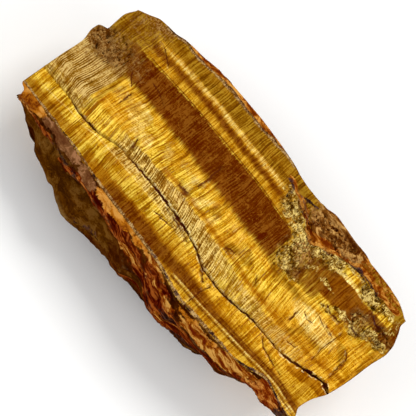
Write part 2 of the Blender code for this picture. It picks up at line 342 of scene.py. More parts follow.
    def end_ledges(self, y: Array, z: Array, side: int) -> Array:
        """Returns how far an end is broken back, in ledges along the fibres."""
        roll = 2.1 * grain(side * 40 + 0 * y, y, z, (1.0, 19.0, 6.5))
        roll += 0.9 * grain(side * 9 + 0 * y, y, z, (1.0, 7.0, 2.6))
        return terraces(roll + 2.4, 1.1) * 0.8

    def row_share(self, x: Array, row: Array, share: Array) -> Array:
        """Returns how far across the block a row lies, from front to back.

        Args:
            x: place along the block.
            row: the row's number, which may lie between two whole rows.
            share: 1 at the fibre face and 0 at the underside.
        """
        rim_front, rim_back = curve(self.front_rim, x), curve(self.back_rim, x)
        crack = curve(self.crack, x)
        lines = (
            (0, rim_front), (5, crack - 1.2), (6, crack - 0.1), (7, crack + 0.9),
            (12, curve(self.band_front, x)), (16, curve(self.band_back, x)), (self.cells[1], rim_back),
        )  # fmt: skip
        place = np.zeros_like(x)
        for (start, low), (end, high) in zip(lines, lines[1:]):
            here = (row >= start) & (row <= end)
            place = np.where(here, mix(low, high, (row - start) / (end - start)), place)
        on_face = (place - rim_front) / (rim_back - rim_front)
        return mix(row / self.cells[1], on_face, share)


# ---------------------------------------------------------------- fine relief and ground


@dataclass
class Places:
    """Where the fine mesh's points are, in millimetres, and which side of the block each is on."""

    unit: Array
    x: Array
    y: Array
    z: Array
    depth: Array
    into_front: Array
    into_back: Array


def lean(x: Array, y: Array, form: Form, silver_back: Array) -> Array:
    """How far a fibre has drifted along X, in millimetres, from where it crosses the brown band.

    Args:
        x, y: places on the block.
        form: the block's outline.
        silver_back: y of the line where the fibres kink.

    Returns:
        The drift at each place. Fibres lean one way in the gold band, kink back, and are broken at the crack.
    """
    gold_lean = curve(((-61, 0.16), (-20, 0.13), (5, 0.05), (30, -0.14), (45, 0.0), (63, 0.06)), x)
    kinks = ((-61, -0.25), (-38, -0.12), (-28, -0.20), (0, -0.34), (14, -0.20), (26, -0.10), (46, 0.0))
    kink_lean = curve(kinks, x)
    in_gold = np.clip(curve(form.band_front, x) - y, 0, None)
    past_kink = np.clip(silver_back - y, 0, None)
    past_crack = np.clip(curve(form.crack, x) - y, 0, None)
    drift = -gold_lean * (in_gold - past_kink) - kink_lean * (past_kink - past_crack)
    return drift + 0.7 * (past_crack > 0)


@dataclass(frozen=True)
class HairCrack:
    """A thin crack along a few points, in millimetres on the fibre face."""

    points: Points
    width: float = 0.20
    depth: float = 0.22

    def across(self, x: Array, y: Array) -> tuple[Array, Array]:
        """Measures places from the crack.

        Args:
            x, y: places on the fibre face.

        Returns:
            How far each place lies to the crack's left, less than 0 to its right, and how far it lies from
            the crack.
        """
        nearest = np.full_like(x, 1e3)
        side = np.full_like(x, 1e3)
        for (x0, y0), (x1, y1) in zip(self.points, self.points[1:]):
            run_x, run_y = x1 - x0, y1 - y0
            length = math.hypot(run_x, run_y)
            t = np.clip(((x - x0) * run_x + (y - y0) * run_y) / length**2, 0, 1)
            away = np.hypot(x - x0 - t * run_x, y - y0 - t * run_y)
            left = (run_x * (y - y0) - run_y * (x - x0)) / length
            side = np.where(away < nearest, left, side)
            nearest = np.minimum(nearest, away)
        return side, nearest

    def share(self, x: Array, y: Array) -> Array:
        """Returns 1 on the crack, fading to 0 past its width."""
        return ridge(self.across(x, y)[1], 1.6 * self.width)


HAIR_CRACKS = (
    HairCrack(((51.9, 5.2), (51.3, -1.2), (51.8, -5.8))),
    HairCrack(((38.3, -13.4), (40.0, -14.7), (44.5, -15.8), (48.5, -16.3)), 0.30),
    HairCrack(((11.5, -13.4), (13.0, -14.8), (14.8, -16.1)), 0.35, 0.45),
    HairCrack(((17.2, -16.0), (16.6, -19.3), (16.8, -24.4)), 0.34),
    HairCrack(((-8.8, -13.8), (-7.0, -13.2))),
    HairCrack(((-6.6, -13.6), (-4.8, -13.1), (-3.0, -12.8))),
    HairCrack(((-7.0, -10.2), (-3.5, -10.6), (0.0, -11.0), (3.0, -12.1)), 0.34, 0.4),
    HairCrack(((-27.6, -4.4), (-27.0, -5.6), (-26.7, -7.0)), 0.35, 0.4),
    HairCrack(((-38.9, 3.1), (-39.0, -0.4), (-39.2, -1.2)), 0.32),
    HairCrack(((-36.6, 10.4), (-34.0, 10.1), (-30.4, 8.5))),
    HairCrack(((-43.9, 8.0), (-42.2, 6.3), (-40.6, 5.1)), 0.34),
    HairCrack(((-42.6, 20.3), (-40.2, 18.9), (-38.4, 17.8))),
    HairCrack(((-6.3, 1.4), (-6.2, 5.4), (-6.4, 9.8)), 0.4, 0.35),
    HairCrack(((40.8, 1.0), (42.2, 0.3), (43.4, 0.6))),
    HairCrack(((44.8, 3.6), (46.4, 3.0))),
    HairCrack(((43.8, -8.4), (45.6, -8.0))),
    HairCrack(((47.9, 3.4), (50.0, 3.0)), 0.34),
    HairCrack(((38.9, -0.6), (39.2, -3.3)), 0.34),
    HairCrack(((43.6, 7.9), (45.5, 7.2), (48.4, 7.4)), 0.36, 0.5),
    HairCrack(((52.8, 9.6), (56.0, 10.5), (58.2, 12.2), (60.6, 12.9)), 0.5, 0.7),
    HairCrack(((54.0, 16.6), (56.8, 15.9), (60.0, 16.0)), 0.4, 0.5),
    HairCrack(((57.0, 3.2), (58.2, 1.8), (58.5, -2.6), (58.9, -5.4)), 0.3),
    HairCrack(((24.0, -3.3), (25.4, -5.2)), 0.3),
    HairCrack(((12.2, -4.4), (13.2, -4.1), (14.2, -3.5)), 0.6, 0.5),
    HairCrack(((-9.8, -3.4), (-8.4, -3.7), (-7.0, -3.4)), 0.8, 0.5),
)


HAIR_TRACKS = 3


@dataclass
class FineStone:
    """The fine mesh of the block: its shape, and how far each place is from the walls."""

    form: Form
    cells: tuple[int, int, int] = (200, 64, 30)
    crack_drawn: Points = (
        (-61, 0.03), (-53, 0.08), (-47.5, 0.16), (-45, 0.60), (-39, 0.60), (-36, 0.14), (-29, 0.12),
        (-23, 0.55), (-8, 0.85), (6, 0.75), (15, 0.60), (26, 0.50), (38, 0.50), (46, 0.75), (53, 1.3),
        (58, 2.0), (63, 1.6),
    )  # fmt: skip
    silver_back: Points = (
        (-60, -5.5), (-38, -5.8), (-29, -5.2), (-24, -4.8), (-16, -4.9), (-10, -4.4), (0, -5.0), (8, -5.9),
        (16, -6.5), (20, -7.3), (26, -7.9), (34, -7.9), (42, -7.4), (50, -7.1), (62, -5.0),
    )  # fmt: skip

    def cut_box(self, cells: tuple[int, int, int]) -> bmesh.types.BMesh:
        """Returns a unit box, from 0 to 1 on each axis, cut into cells along each axis."""
        box = bmesh.new()
        bmesh.ops.create_cube(box, size=1.0)
        bmesh.ops.translate(box, verts=box.verts, vec=(0.5, 0.5, 0.5))
        for axis, count in enumerate(cells):
            along = [edge for edge in box.edges if abs((edge.verts[0].co - edge.verts[1].co)[axis]) > 0.99]
            bmesh.ops.subdivide_edges(box, edges=along, cuts=count - 1, use_grid_fill=True)
        return box

    def unit_box(self) -> bmesh.types.BMesh:
        """Returns the cut unit box, with cells half as wide on the fibre face."""
        box = self.cut_box(self.cells)
        on_face = [edge for edge in box.edges if all(vert.co.z > FAR_SIDE for vert in edge.verts)]
        bmesh.ops.subdivide_edges(box, edges=on_face, cuts=1, use_grid_fill=True)
        return box

    def bend(self, unit: Array) -> Places:
        """Takes places in the unit box to the block's own form.

        Args:
            unit: places in the unit box.

        Returns:
            The places on the block, before any fine relief.
        """
        form = self.form
        u, v, w = unit.T
        share = 1 - (1 - w) ** form.layer_crowding
        row = np.round(v * form.cells[1], 6)
        x = mix(-60.0, 62.5, u)
        for _ in range(3):
            depth = (1 - share) * (form.top_height - 6)
            y = mix(curve(form.front_rim, x), curve(form.back_rim, x), form.row_share(x, row, share))
            height = form.top_height - depth
            inside = 1 - ramp(0.85, 1.0, share)
            left = curve(form.left_end, y) + form.end_ledges(y, height, -1) * inside + 1.6 * (1 - share)
            right = curve(form.right_end, y) - form.end_ledges(y, height, 1) * inside - 1.6 * (1 - share)
            x = mix(left, right, u)
        depth = (1 - share) * (form.face_height(x, y) - form.under_height(x, y))
        front, back = form.front_wall(x, share, depth), form.back_wall(x, share, depth)
        y = mix(front, back, form.row_share(x, row, share))
        z = mix(form.under_height(x, y), form.face_height(x, y), share)
        return Places(unit, x, y, z, depth, y - front, back - y)

    def middle(self) -> Array:
        """Returns the plain solid's middle, in the outline's own coordinates."""
        plain = self.cut_box(self.form.cells)
        at = self.bend(np.array([vert.co[:] for vert in plain.verts]))
        plain.free()
        spread = np.stack([at.x, at.y, at.z])
        low, high = spread.min(axis=1), spread.max(axis=1)
        return np.array([(low[0] + high[0]) / 2, (low[1] + high[1]) / 2, low[2]])

    def fibre(self, at: Places) -> Array:
        """Returns each place straightened along its fibre, in millimetres."""
        drift = lean(at.x, at.y, self.form, curve(self.silver_back, at.x))
        flat = np.zeros_like(at.x)
        slow, quick = grain(at.x, at.y, flat, (14.0, 8.0, 1.0)), grain(at.x, at.y, flat, (3.4, 2.8, 1.0))
        drift += 0.60 * slow + 0.13 * quick
        return np.stack([at.x - drift, at.y, self.form.top_height - at.depth], axis=-1)

    def add_face_relief(self, at: Places, straight: Array) -> None:
        """Adds fibre ridges, splinters, broken chips and hair cracks to the fibre face."""
        here = at.unit[:, 2] > FAR_SIDE
        x, y = at.x[here], at.y[here]
        fibre = straight[here, 0]
        flat = np.zeros_like(x)
        broken = self.form.rubble_share(x, y)
        whole = 1 - 0.75 * broken
        rise = 0.11 * grain(fibre, y, flat, (1.3, 18.0, 1.0)) + 0.06 * grain(fibre, y, flat, (0.62, 9.0, 1.0))
        splinter = terraces(1.1 * grain(fibre + 90, y, flat, (4.2, 20.0, 1.0)), 0.34)
        rise = (0.7 * rise + 0.2 * splinter) * whole
        inside, level = chips(x, y, flat, 1.9)
        rise += broken * (0.6 * (level - 0.5) - 0.25 * np.exp(-inside / 0.12))
        small, small_level = chips(x + 31, y, flat, 0.9)
        rise += broken * (0.40 * (small_level - 0.5) - 0.15 * np.exp(-small / 0.15))
        for crack in HAIR_CRACKS:
            rise -= crack.depth * crack.share(x, y)
        at.z[here] += rise

    def add_front_relief(self, at: Places) -> None:
        """Adds thin rind layers near the rim and shallow ribs in the bowls of the front wall."""
        here = (at.unit[:, 1] < NEAR_SIDE) & (at.unit[:, 2] < FAR_SIDE)
        x, z, depth = at.x[here], at.z[here], at.depth[here]
        flat = np.zeros_like(x)
        near_rim = ramp(0.2, 1.0, depth) * (1 - ramp(5.0, 9.0, depth))
        tilt = depth + 0.10 * x + 1.2 * grain(x, flat, z, (14.0, 1.0, 5.0))
        layers = terraces(tilt, 1.15) - tilt
        ribs = np.sin((z * 0.9 + 4.5 * grain(x, flat, z, (16.0, 1.0, 11.0))) * 3.1)
        rough = 0.34 * grain(x, flat, z, (3.1, 1.0, 2.4)) + 0.16 * grain(x, flat, z, (1.2, 1.0, 0.9))
        push = 0.5 * layers * near_rim + 0.05 * ribs * ramp(4, 8, depth) + rough * mix(0.35, 1.0, near_rim)
        at.y[here] -= push

    def add_back_relief(self, at: Places) -> None:
        """Adds a pitted, scaly skin to the back wall."""
        here = (at.unit[:, 1] > FAR_SIDE) & (at.unit[:, 2] < FAR_SIDE)
        x, z, depth = at.x[here], at.z[here], at.depth[here]
        flat = np.zeros_like(x)
        inside, level = chips(x, flat, z * 1.5, 3.4)
        push = 0.55 * (level - 0.5) * ramp(0.02, 0.3, inside) + 0.4 * grain(x, flat, z, (2.2, 1.0, 1.4))
        push += 0.6 * grain(x, flat + 8, z, (7.0, 1.0, 2.6))
        at.y[here] += push * ramp(0.0, 2.0, depth)

    def add_end_relief(self, at: Places) -> None:
        """Adds splinters along the fibres to the two broken ends."""
        for side, here in ((-1, at.unit[:, 0] < NEAR_SIDE), (1, at.unit[:, 0] > FAR_SIDE)):
            here = here & (at.unit[:, 2] < FAR_SIDE)
            y, z = at.y[here], at.z[here]
            flat = np.full_like(y, side * 5.0)
            push = 0.30 * grain(flat, y, z, (1.0, 13.0, 1.3)) + 0.14 * grain(flat, y, z, (1.0, 6.0, 0.5))
            push += 0.6 * terraces(1.2 * grain(flat + 3, y, z, (1.0, 16.0, 3.2)), 0.4)
            at.x[here] += side * push * ramp(0.3, 2.0, at.depth[here])

    def add_under_relief(self, at: Places) -> None:
        """Adds fibre ridges and splinters to the underside, but not to the patch that it rests on."""
        here = at.unit[:, 2] < NEAR_SIDE
        x, y, z = at.x[here], at.y[here], at.z[here]
        flat = np.zeros_like(x)
        rise = 0.30 * grain(x, y, flat, (1.5, 16.0, 1.0)) + 0.14 * grain(x, y, flat, (0.7, 7.0, 1.0))
        rise += 0.8 * terraces(1.1 * grain(x + 15, y, flat, (4.0, 22.0, 1.0)), 0.45)
        at.z[here] = np.maximum(z + rise * ramp(0.0, 1.2, z), 0.0)


class Grain(Enum):
    """How the light and dark of a zone are spread."""

    FIBRE = "fibre"
    SATIN = "satin"
    COMB = "comb"
    SPLINTER = "splinter"
    SMOKE = "smoke"
    CRUMB = "crumb"
    FLAKE = "flake"
    ROCK = "rock"
    LAYER = "layer"


FIBROUS = (Grain.FIBRE, Grain.SATIN, Grain.COMB, Grain.SPLINTER, Grain.SMOKE)
CRUMBLY = (Grain.CRUMB, Grain.FLAKE)


@dataclass(frozen=True)
class Zone:
    """One kind of ground in the stone. gloss is its roughness, silk how far it shines like metal."""

    name: str
    dark: str
    middle: str
    light: str
    grain: Grain
    gloss: float
    silk: float = 0.0


ZONES = (
    Zone("gold", "804C04", "B0800C", "E2BE46", Grain.FIBRE, 0.40, 0.30),
    Zone("honey", "844404", "B47A06", "E0B038", Grain.SATIN, 0.42, 0.26),
    Zone("amber", "6B3400", "8F5302", "AC7412", Grain.SATIN, 0.42, 0.22),
    Zone("olive", "5C3202", "7C4E05", "A0761A", Grain.FIBRE, 0.46, 0.18),
    Zone("brown", "4C1300", "5C2601", "7A450E", Grain.SMOKE, 0.42, 0.10),
    Zone("silver", "563004", "8C641A", "DCBE6E", Grain.SPLINTER, 0.42, 0.22),
    # pale: pale lines in the stone; the same zone also carries painted highlights of the fibres' silky sheen.
    Zone("pale", "92641A", "CCA444", "F0DA8C", Grain.SATIN, 0.38, 0.30),
    Zone("dull", "623A04", "94681C", "D4B26A", Grain.COMB, 0.55, 0.08),
    Zone("earth", "5E3004", "764410", "A47C42", Grain.FLAKE, 0.75),
    Zone("rubble", "402000", "906610", "F2D47C", Grain.CRUMB, 0.60),
    Zone("matrix", "4E2002", "845018", "C49450", Grain.LAYER, 0.70),
    Zone("rust", "662402", "9A520A", "D0923E", Grain.LAYER, 0.50),
    Zone("contact", "4C2C0C", "785028", "C09C64", Grain.FLAKE, 0.60),
    Zone("ink", "160808", "301818", "5A3C34", Grain.FLAKE, 0.45),
    Zone("rock", "260600", "3E1601", "56300A", Grain.ROCK, 0.36, 0.10),
    Zone("moss", "361802", "522C02", "6C4618", Grain.ROCK, 0.34, 0.12),
    Zone("maroon", "340200", "5C1602", "9C501A", Grain.LAYER, 0.38, 0.10),
    Zone("jasper", "5E1002", "94440A", "CC863A", Grain.LAYER, 0.42, 0.08),
    Zone("ochre", "601803", "98500A", "D49C4A", Grain.LAYER, 0.46, 0.06),
    Zone("tan", "6E2C04", "BA6E14", "D89642", Grain.ROCK, 0.48, 0.04),
    Zone("mauve", "62361A", "7A4E2A", "A6724A", Grain.ROCK, 0.48),
    Zone("dark", "140604", "2C1410", "54362C", Grain.LAYER, 0.45),
)


def strip(at: Array, low: Array, high: Array, soft: float = 0.2) -> Array:
    """Returns 1 between low and high, fading over soft at either side."""
    return ramp(-soft, soft, at - low) * (1 - ramp(-soft, soft, at - high))


def patch(
    x: Array, y: Array, middle: Pair, half: Pair, soft: float = 0.15
) -> Array:
    """Returns 1 in an oval patch, fading to 0 over soft, a share of its size, at either side of its edge."""
    reach = np.hypot((x - middle[0]) / half[0], (y - middle[1]) / half[1])
    return 1 - ramp(1 - soft, 1 + soft, reach)


PALE_LINE: Points = ((8, -21.3), (20, -21.1), (28, -20.6), (36, -20.1), (44, -19.4), (50, -19.1), (61, -20.4))

# fmt: off
# Ovals of the front wall, zone by zone: whether they run level along the rim or lean with the layers, how
# soft their edges are, and then each one's middle and half sizes, along and down the wall, and its amount.
FRONT_PATCHES = (
    ("moss", False, 0.35, (
        (-25, 9.5, 8.5, 4.6, 1.0), (-56, 8.0, 9, 3.4, 0.7), (-36, 6.4, 8, 1.6, 0.8), (-8, 13.0, 7, 3.0, 0.7),
        (-44, 13.0, 6, 3.0, 0.6), (20, 15.0, 8, 3.0, 0.6), (-32, 12.0, 7, 4.0, 0.7), (-50, 5.6, 9, 2.6, 0.9),
        (-44, 8.5, 14, 6.5, 0.75),
    )),
    ("maroon", False, 0.3, (
        (-17, 3.4, 18, 2.0, 1.0), (0, 5.4, 13, 3.4, 1.0), (4, 11.0, 9, 3.0, 0.8), (19, 8.6, 9, 3.6, 0.95),
        (-54, 3.3, 9, 0.8, 0.9), (28, 6.2, 9, 1.4, 0.9), (-8, 17.0, 12, 2.6, 0.7), (34, 14.0, 9, 4.0, 0.6),
        (46, 5.4, 8, 1.4, 0.8), (-38, 4.6, 6, 0.7, 0.8), (6, 1.8, 7, 1.1, 0.8), (40, 3.2, 6, 1.0, 0.8),
    )),
    ("ochre", False, 0.3, (
        (27, 2.6, 12, 1.7, 1.0), (-8, 5.8, 4.6, 1.8, 0.8), (6, 3.6, 8, 0.6, 0.8), (10, 8.6, 5, 0.6, 0.7),
        (-60, 2.2, 7, 1.3, 0.8), (38, 1.4, 6, 1.4, 1.0), (22, 10.4, 3.4, 0.7, 0.6), (0, 13.2, 5, 0.6, 0.5),
        (3, 0.8, 6, 0.7, 0.9),
    )),
    ("jasper", False, 0.3, ((52, 2.0, 9, 2.2, 1.0), (-30, 3.4, 5, 0.6, 0.7), (14, 5.0, 5, 0.7, 0.7))),
    ("tan", True, 0.3, (
        (-56, 0.9, 8, 1.5, 1.0), (-16, 0.8, 9, 1.2, 1.0), (-4, 0.7, 5, 0.8, 0.8), (30, 1.4, 3, 0.8, 0.7),
        (20, 0.9, 5, 0.6, 0.7),
    )),
    ("mauve", True, 0.3, ((-41, 0.8, 7.5, 1.5, 1.0), (-28.6, 1.2, 4.0, 1.6, 0.95))),
    ("dark", False, 0.45, (
        (-41, 3.4, 6.0, 0.6, 0.7), (13, 6.4, 5, 1.5, 0.7), (57.5, 2.4, 3.6, 2.4, 0.8),
        (11, 13.5, 7, 1.4, 0.6),
        (37, 4.8, 6, 0.7, 0.7), (-27, 12.4, 7, 0.9, 0.5), (-35, 4.4, 3.4, 0.7, 0.6), (-2, 9.6, 9, 1.0, 0.6),
        (25, 4.6, 6, 0.6, 0.7), (20, 12.0, 9, 1.2, 0.6),
    )),
)
# Ovals of the fibre face: each one's middle and half sizes, along X and Y, and its amount.
RUBBLE_PATCHES = (
    (17, 19.6, 6.0, 3.0, 0.9), (13.0, 21.8, 3.5, 2.0, 0.6), (24.8, 12.6, 2.7, 5.6, 1.0),
    (22.0, 17.0, 4.0, 3.0, 0.8), (28.5, 16.2, 3.8, 2.2, 0.7), (25.6, 7.6, 4.2, 3.2, 0.6),
    (33.6, 18.7, 5.4, 2.3, 1.0), (49.5, 20.4, 4.6, 3.0, 0.9), (52.4, 12.6, 2.4, 3.0, 0.5),
    (60.2, 12.8, 4.6, 1.3, 1.0), (37.6, 12.0, 2.8, 0.9, 0.9), (54.4, 10.6, 4.6, 1.2, 0.85),
    (49, 9.2, 4.6, 1.0, 0.7), (39, 21.6, 3.4, 1.4, 0.9), (30.4, 5.6, 2.8, 1.6, 0.5),
    (56.4, 21.4, 3.6, 1.8, 0.8), (43.4, 7.2, 1.4, 0.9, 0.7), (52.6, 8.2, 4.0, 1.0, 0.5),
    (44.5, 22.0, 3.0, 1.2, 0.6), (61.0, 17.6, 2.0, 3.4, 0.5), (31.5, 13.0, 2.2, 2.4, 0.4),
)
EARTH_PATCHES = (
    (-54, 7.6, 8.0, 3.8, 0.85), (-46, 9.5, 6.5, 3.6, 0.5), (-52, 22.5, 6.5, 3.5, 0.5),
    (-57, 9.5, 3.0, 2.5, 0.9),
    (-47.5, 23.5, 4.0, 2.0, 0.5), (-54, 2.5, 5.0, 3.0, 0.4), (-52, 12.0, 7.0, 2.6, 0.45),
    (-48, 6.0, 4.5, 3.0, 0.5), (-49, 24.4, 5.0, 1.2, 0.7),
)
INK_PATCHES = (
    (10.4, 23.6, 1.9, 0.9, 0.8), (11.6, 21.8, 0.9, 1.6, 0.6), (42.5, 22.7, 5.5, 0.5, 0.8),
    (18.0, 24.6, 2.2, 0.5, 0.9), (56.5, 16.2, 3.4, 0.35, 0.7), (27.0, 17.4, 4.5, 0.35, 0.5),
)
# fmt: on


@dataclass
class Ground:
    """Which zone of the stone each place of the mesh belongs to."""

    stone: FineStone
    at: Places
    straight: Array
    shares: dict[str, Array] = field(default_factory=dict)

    def __post_init__(self) -> None:
        """Works out the ragged coordinates that the zones' edges follow."""
        at, fibre = self.at, self.straight[:, 0]
        tooth = 0.35 * grain(fibre, at.y, at.z, (0.8, 40.0, 3.0))
        self.toothed = at.y + (tooth + 0.5 * grain(fibre, at.y, at.z, (5.0, 9.0, 5.0)))
        self.ragged_x = at.x + 1.6 * self.wave((2.8, 2.2, 2.8)) + 0.5 * self.wave((1, 1, 1))
        self.ragged_y = at.y + grain(at.x + 50, at.y, 0 * at.x, (2.8, 2.0, 2.0))
        self.ragged_depth = at.depth + 1.1 * self.wave((5.0, 4.0, 2.0))
        self.on_face = (at.unit[:, 2] > FAR_SIDE).astype(float)
        self.shallow = 1 - ramp(1.5, 4.0, at.depth + 2.5 * self.wave((4.0, 4.0, 3.0)))

    def wave(self, size: Triple, shift: float = 0.0) -> Array:
        """Returns smooth noise of a size, drawn from another place along the block for each shift."""
        return grain(self.at.x + shift, self.at.y, self.at.z, size)

    def weave(self, shift: float, width: float, length: float) -> Array:
        """Returns smooth noise that follows the fibres, drawn from another place for each shift."""
        return grain(self.straight[:, 0] + shift, self.at.y, 0 * self.at.x, (width, length, 1.0))

    def add(self, name: str, share: Array) -> None:
        """Adds ground to a zone."""
        self.shares[name] = np.maximum(self.shares.get(name, 0.0), np.clip(share, 0, 1))

    def add_patches(self, name: str, x: Array, y: Array, soft: float, patches: tuple, *shares: Array) -> None:
        """Adds oval patches to a zone.

        Args:
            name: the zone.
            x, y: places, which may be ragged.
            soft: how soft the edges are, as a share of a patch's size.
            patches: a middle, half sizes and an amount for each patch.
            shares: where the patches show.
        """
        for middle_x, middle_y, half_x, half_y, amount in patches:
            share = patch(x, y, (middle_x, middle_y), (half_x, half_y), soft) * amount
            for part in shares:
                share = share * part
            self.add(name, share)

    def add_bands(self) -> None:
        """Adds the bands that run the block's whole length: gold, amber, brown, olive and pale lines."""
        form, x, y, wide = self.stone.form, self.at.x, self.toothed, self.ragged_x
        silver_back = curve(self.stone.silver_back, x)
        crack = curve(form.crack, x)
        band_front, band_back = curve(form.band_front, x), curve(form.band_back, x)
        pale_line = curve(PALE_LINE, x)
        amber_front = mix(-22.6, pale_line, ramp(3, 10, x))
        amber_back = curve(((-40, -16.4), (-20, -16.7), (0, -16.9), (20, -17.4), (40, -17.0), (61, -16.6)), x)
        blots = self.weave(0, 5.0, 4.5)
        bundles = self.weave(44, 1.7, 26.0)
        bundles += 0.6 * self.weave(7, 5.0, 14.0)
        for zone, low, high, soft, along, amount in (
            ("honey", band_back + 0.4, 30, 1.0, strip(x, -50, 20, 4.0), 0.9),
            ("honey", band_front - 2.4, band_front + 1.0, 1.2, strip(x, -60, 64, 3.0), 0.6),
            ("honey", silver_back, band_front, 1.0, strip(wide, -46, -30, 4.0), 0.75),
            ("honey", -21, band_front, 1.0, ramp(26, 38, wide), 0.85),
            ("amber", amber_front, amber_back, 0.9, ramp(-38, -28, wide), 1 - 0.25 * ramp(20, 30, x)),
            ("amber", silver_back + 0.6, silver_back + 2.1, 0.4, ramp(-22, -14, x), 0.75),
            ("amber", silver_back - 0.5, silver_back + 4.2, 0.9, strip(x, 24, 58, 3.0), 0.3),
            ("amber", band_back + 2.6, band_back + 5.0, 0.8, strip(x, -46, 12, 3.0), 1),
            ("amber", crack - 3.4, crack - 0.4, 0.3, ramp(46, 52, x), 1),
            ("amber", -19.8, -15.8, 0.9, 1 - ramp(-50, -30, wide), 0.75),
            ("amber", 8.6, 17.4, 0.6, strip(wide, 36, 53, 1.2), 1),
            ("olive", band_back, 30, 0.3, strip(x, -70, 16, 3.0), 0.45),
            ("olive", -19.6, -16.4, 0.8, 1 - ramp(-54, -40, wide), 0.5),
            ("olive", band_back + 7.0, 30, 0.7, 1, 1),
            ("olive", 5.5, 17, 0.8, strip(wide, 28, 39, 1.5), 0.7),
            ("olive", silver_back + 1.0, band_front + 1, 1.0, ramp(0.12, 0.42, blots), 0.55),
            ("brown", band_back + 2.8, band_back + 4.9, 0.9, strip(x, -46, 12, 3.0), 0.72),
            ("brown", amber_front + 0.8, amber_back - 0.7, 0.9, strip(wide, -24, 22, 4.0), 0.75),
            ("brown", 8.8, 17.4, 0.6, strip(wide, 36.5, 52, 1.2), 0.66),
            ("brown", 6.0, 17.4, 1.5, strip(wide, 26, 38, 2.0), 0.62),
            ("brown", 14.0, 17.6, 0.4, strip(wide, 51, 66, 0.9), 0.8),
            ("brown", 13.5, 22.5, 0.5, strip(x, 60, 66, 0.8), 0.8),
        ):
            self.add(zone, strip(y, low, high, soft) * along * amount)
        self.add("gold", np.ones_like(x))
        self.add("honey", (1 - ramp(-14.5, -13.0, y)) * ramp(-12, 6, wide) * 0.8)
        self.add("honey", ramp(0.05, 0.45, self.weave(20, 9.0, 6.0)) * 0.6)
        self.add("amber", ramp(0.22, 0.62, bundles) * 0.6)
        self.add("amber", strip(x, 62.0, 66, 0.4) * 0.6)
        self.add("olive", (1 - ramp(-49, -41, wide)) * ramp(7, 10, y))
        torn = wide + 3.0 * self.weave(0, 2.0, 5.0)
        started = ramp(-58, -42, torn) * (1 - ramp(20.5, 22.5, wide))
        self.add("brown", ramp(-1.2, 2.6, y - band_front) * ramp(-0.15, 0.15, band_back - y) * started)
        for offset, width, amount in ((0.55, 0.16, 0.9), (-0.25, 0.14, 0.5)):
            self.add("brown", ridge(self.at.y - band_back - offset, width) * strip(x, -44, 20, 1.5) * amount)
        for offset, amount in ((0.65, 1.0), (1.5, 0.9), (-0.7, 0.8)):
            self.add("brown", ridge(self.at.y - pale_line - offset, 0.46) * strip(x, 6, 62, 3.0) * amount)

    def add_silver(self) -> None:
        """Adds the silvery ground where the fibres kink, the pale lines, and the painted highlights of the
        gold band's silky sheen.
        """
        form, x, y = self.stone.form, self.at.x, self.toothed
        crack, silver_back = curve(form.crack, x), curve(self.stone.silver_back, x)
        blots = self.weave(60, 3.6, 5.0)
        along = (
            (-61, 0.7), (-46, 0.75), (-43, 0.15), (-33, 0.25), (-28, 0.8), (-8, 0.9), (10, 0.8), (20, 0.5),
            (30, 0.6), (40, 0.5), (50, 0.35), (57, 0.0),
        )  # fmt: skip
        self.add("silver", strip(y, crack, silver_back + 0.9 * blots, 0.6) * curve(along, x))
        self.add("silver", strip(y, crack - 2.9, crack, 0.4) * strip(x, -31, 3, 3.0) * 0.7)
        left_line = (
            (-57, -14.8), (-50, -14.3), (-46, -13.7), (-40, -13.5), (-36, -12.6), (-24, -12.2), (-4, -12.0),
        )  # fmt: skip
        right_line = ((47, -20.3), (52, -20.5), (57, -20.8), (61, -21.4))
        lines = ((left_line, 0.24, 0.7), (PALE_LINE, 0.22, 0.8), (right_line, 0.18, 0.7))
        for points, width, amount in lines:
            start, end = points[0][0], points[-1][0]
            ends = ramp(start - 1, start + 1, x) * (1 - ramp(end - 2, end + 2, x))
            self.add("pale", ridge(self.at.y - curve(points, x), width) * ends * amount)
        # Painted highlights: the pale stripe high in the upper band, the whitish stripe along the main gold
        # band and the pale patches below stand in for the fibres' silky sheen.
        back = curve(form.band_back, x)
        self.add("pale", strip(y, back + 5.4, back + 6.9, 0.9) * strip(x, -42, 12, 5.0) * 0.55)
        self.add("pale", strip(y, -4.2, 2.4, 1.6) * strip(x, -43, 17, 3.0) * ramp(-0.15, 0.4, blots) * 0.5)
        self.add_patches("pale", x, y, 0.15, ((45, 1.0, 9, 3.4, 0.55),))
        ragged = ((43, 17.9, 6, 0.8, 0.8), (-33, 1.2, 3.5, 3.4, 0.45))
        self.add_patches("pale", self.ragged_x, y, 0.15, ragged)

    def add_left_end(self) -> None:
        """Adds the dull fibres and earthy ground left of the break across the fibres."""
        x, y, near = self.ragged_x, self.ragged_y, self.shallow
        crack = curve(self.stone.form.crack, self.at.x)
        edge = self.straight[:, 0] + 0.6 * (self.toothed - self.at.y)
        left = 1 - ramp(-44.9, -43.9, edge)
        above_crack = ramp(-0.2, 0.4, self.at.y - crack)
        self.add("dull", left * above_crack * (1 - ramp(6.2, 10.2, y + 0.12 * (x + 52))))
        self.shares["dull"] = self.shares["dull"] * (1 - 0.8 * strip(self.at.y, crack, crack + 3.4, 0.6))
        self.add_patches("earth", x, y, 0.5, EARTH_PATCHES, near)
        self.add_patches("earth", x, y, 0.6, ((-50, 19.5, 7.5, 5.0, 0.38),), near)
        for level, amount in ((14.9, 0.45), (16.1, 0.5), (17.0, 0.6), (19.6, 0.35)):
            line = ridge(self.at.y - level - 0.02 * (self.at.x + 50), 0.22)
            self.add("brown", line * (1 - ramp(-47, -41, x)) * amount)

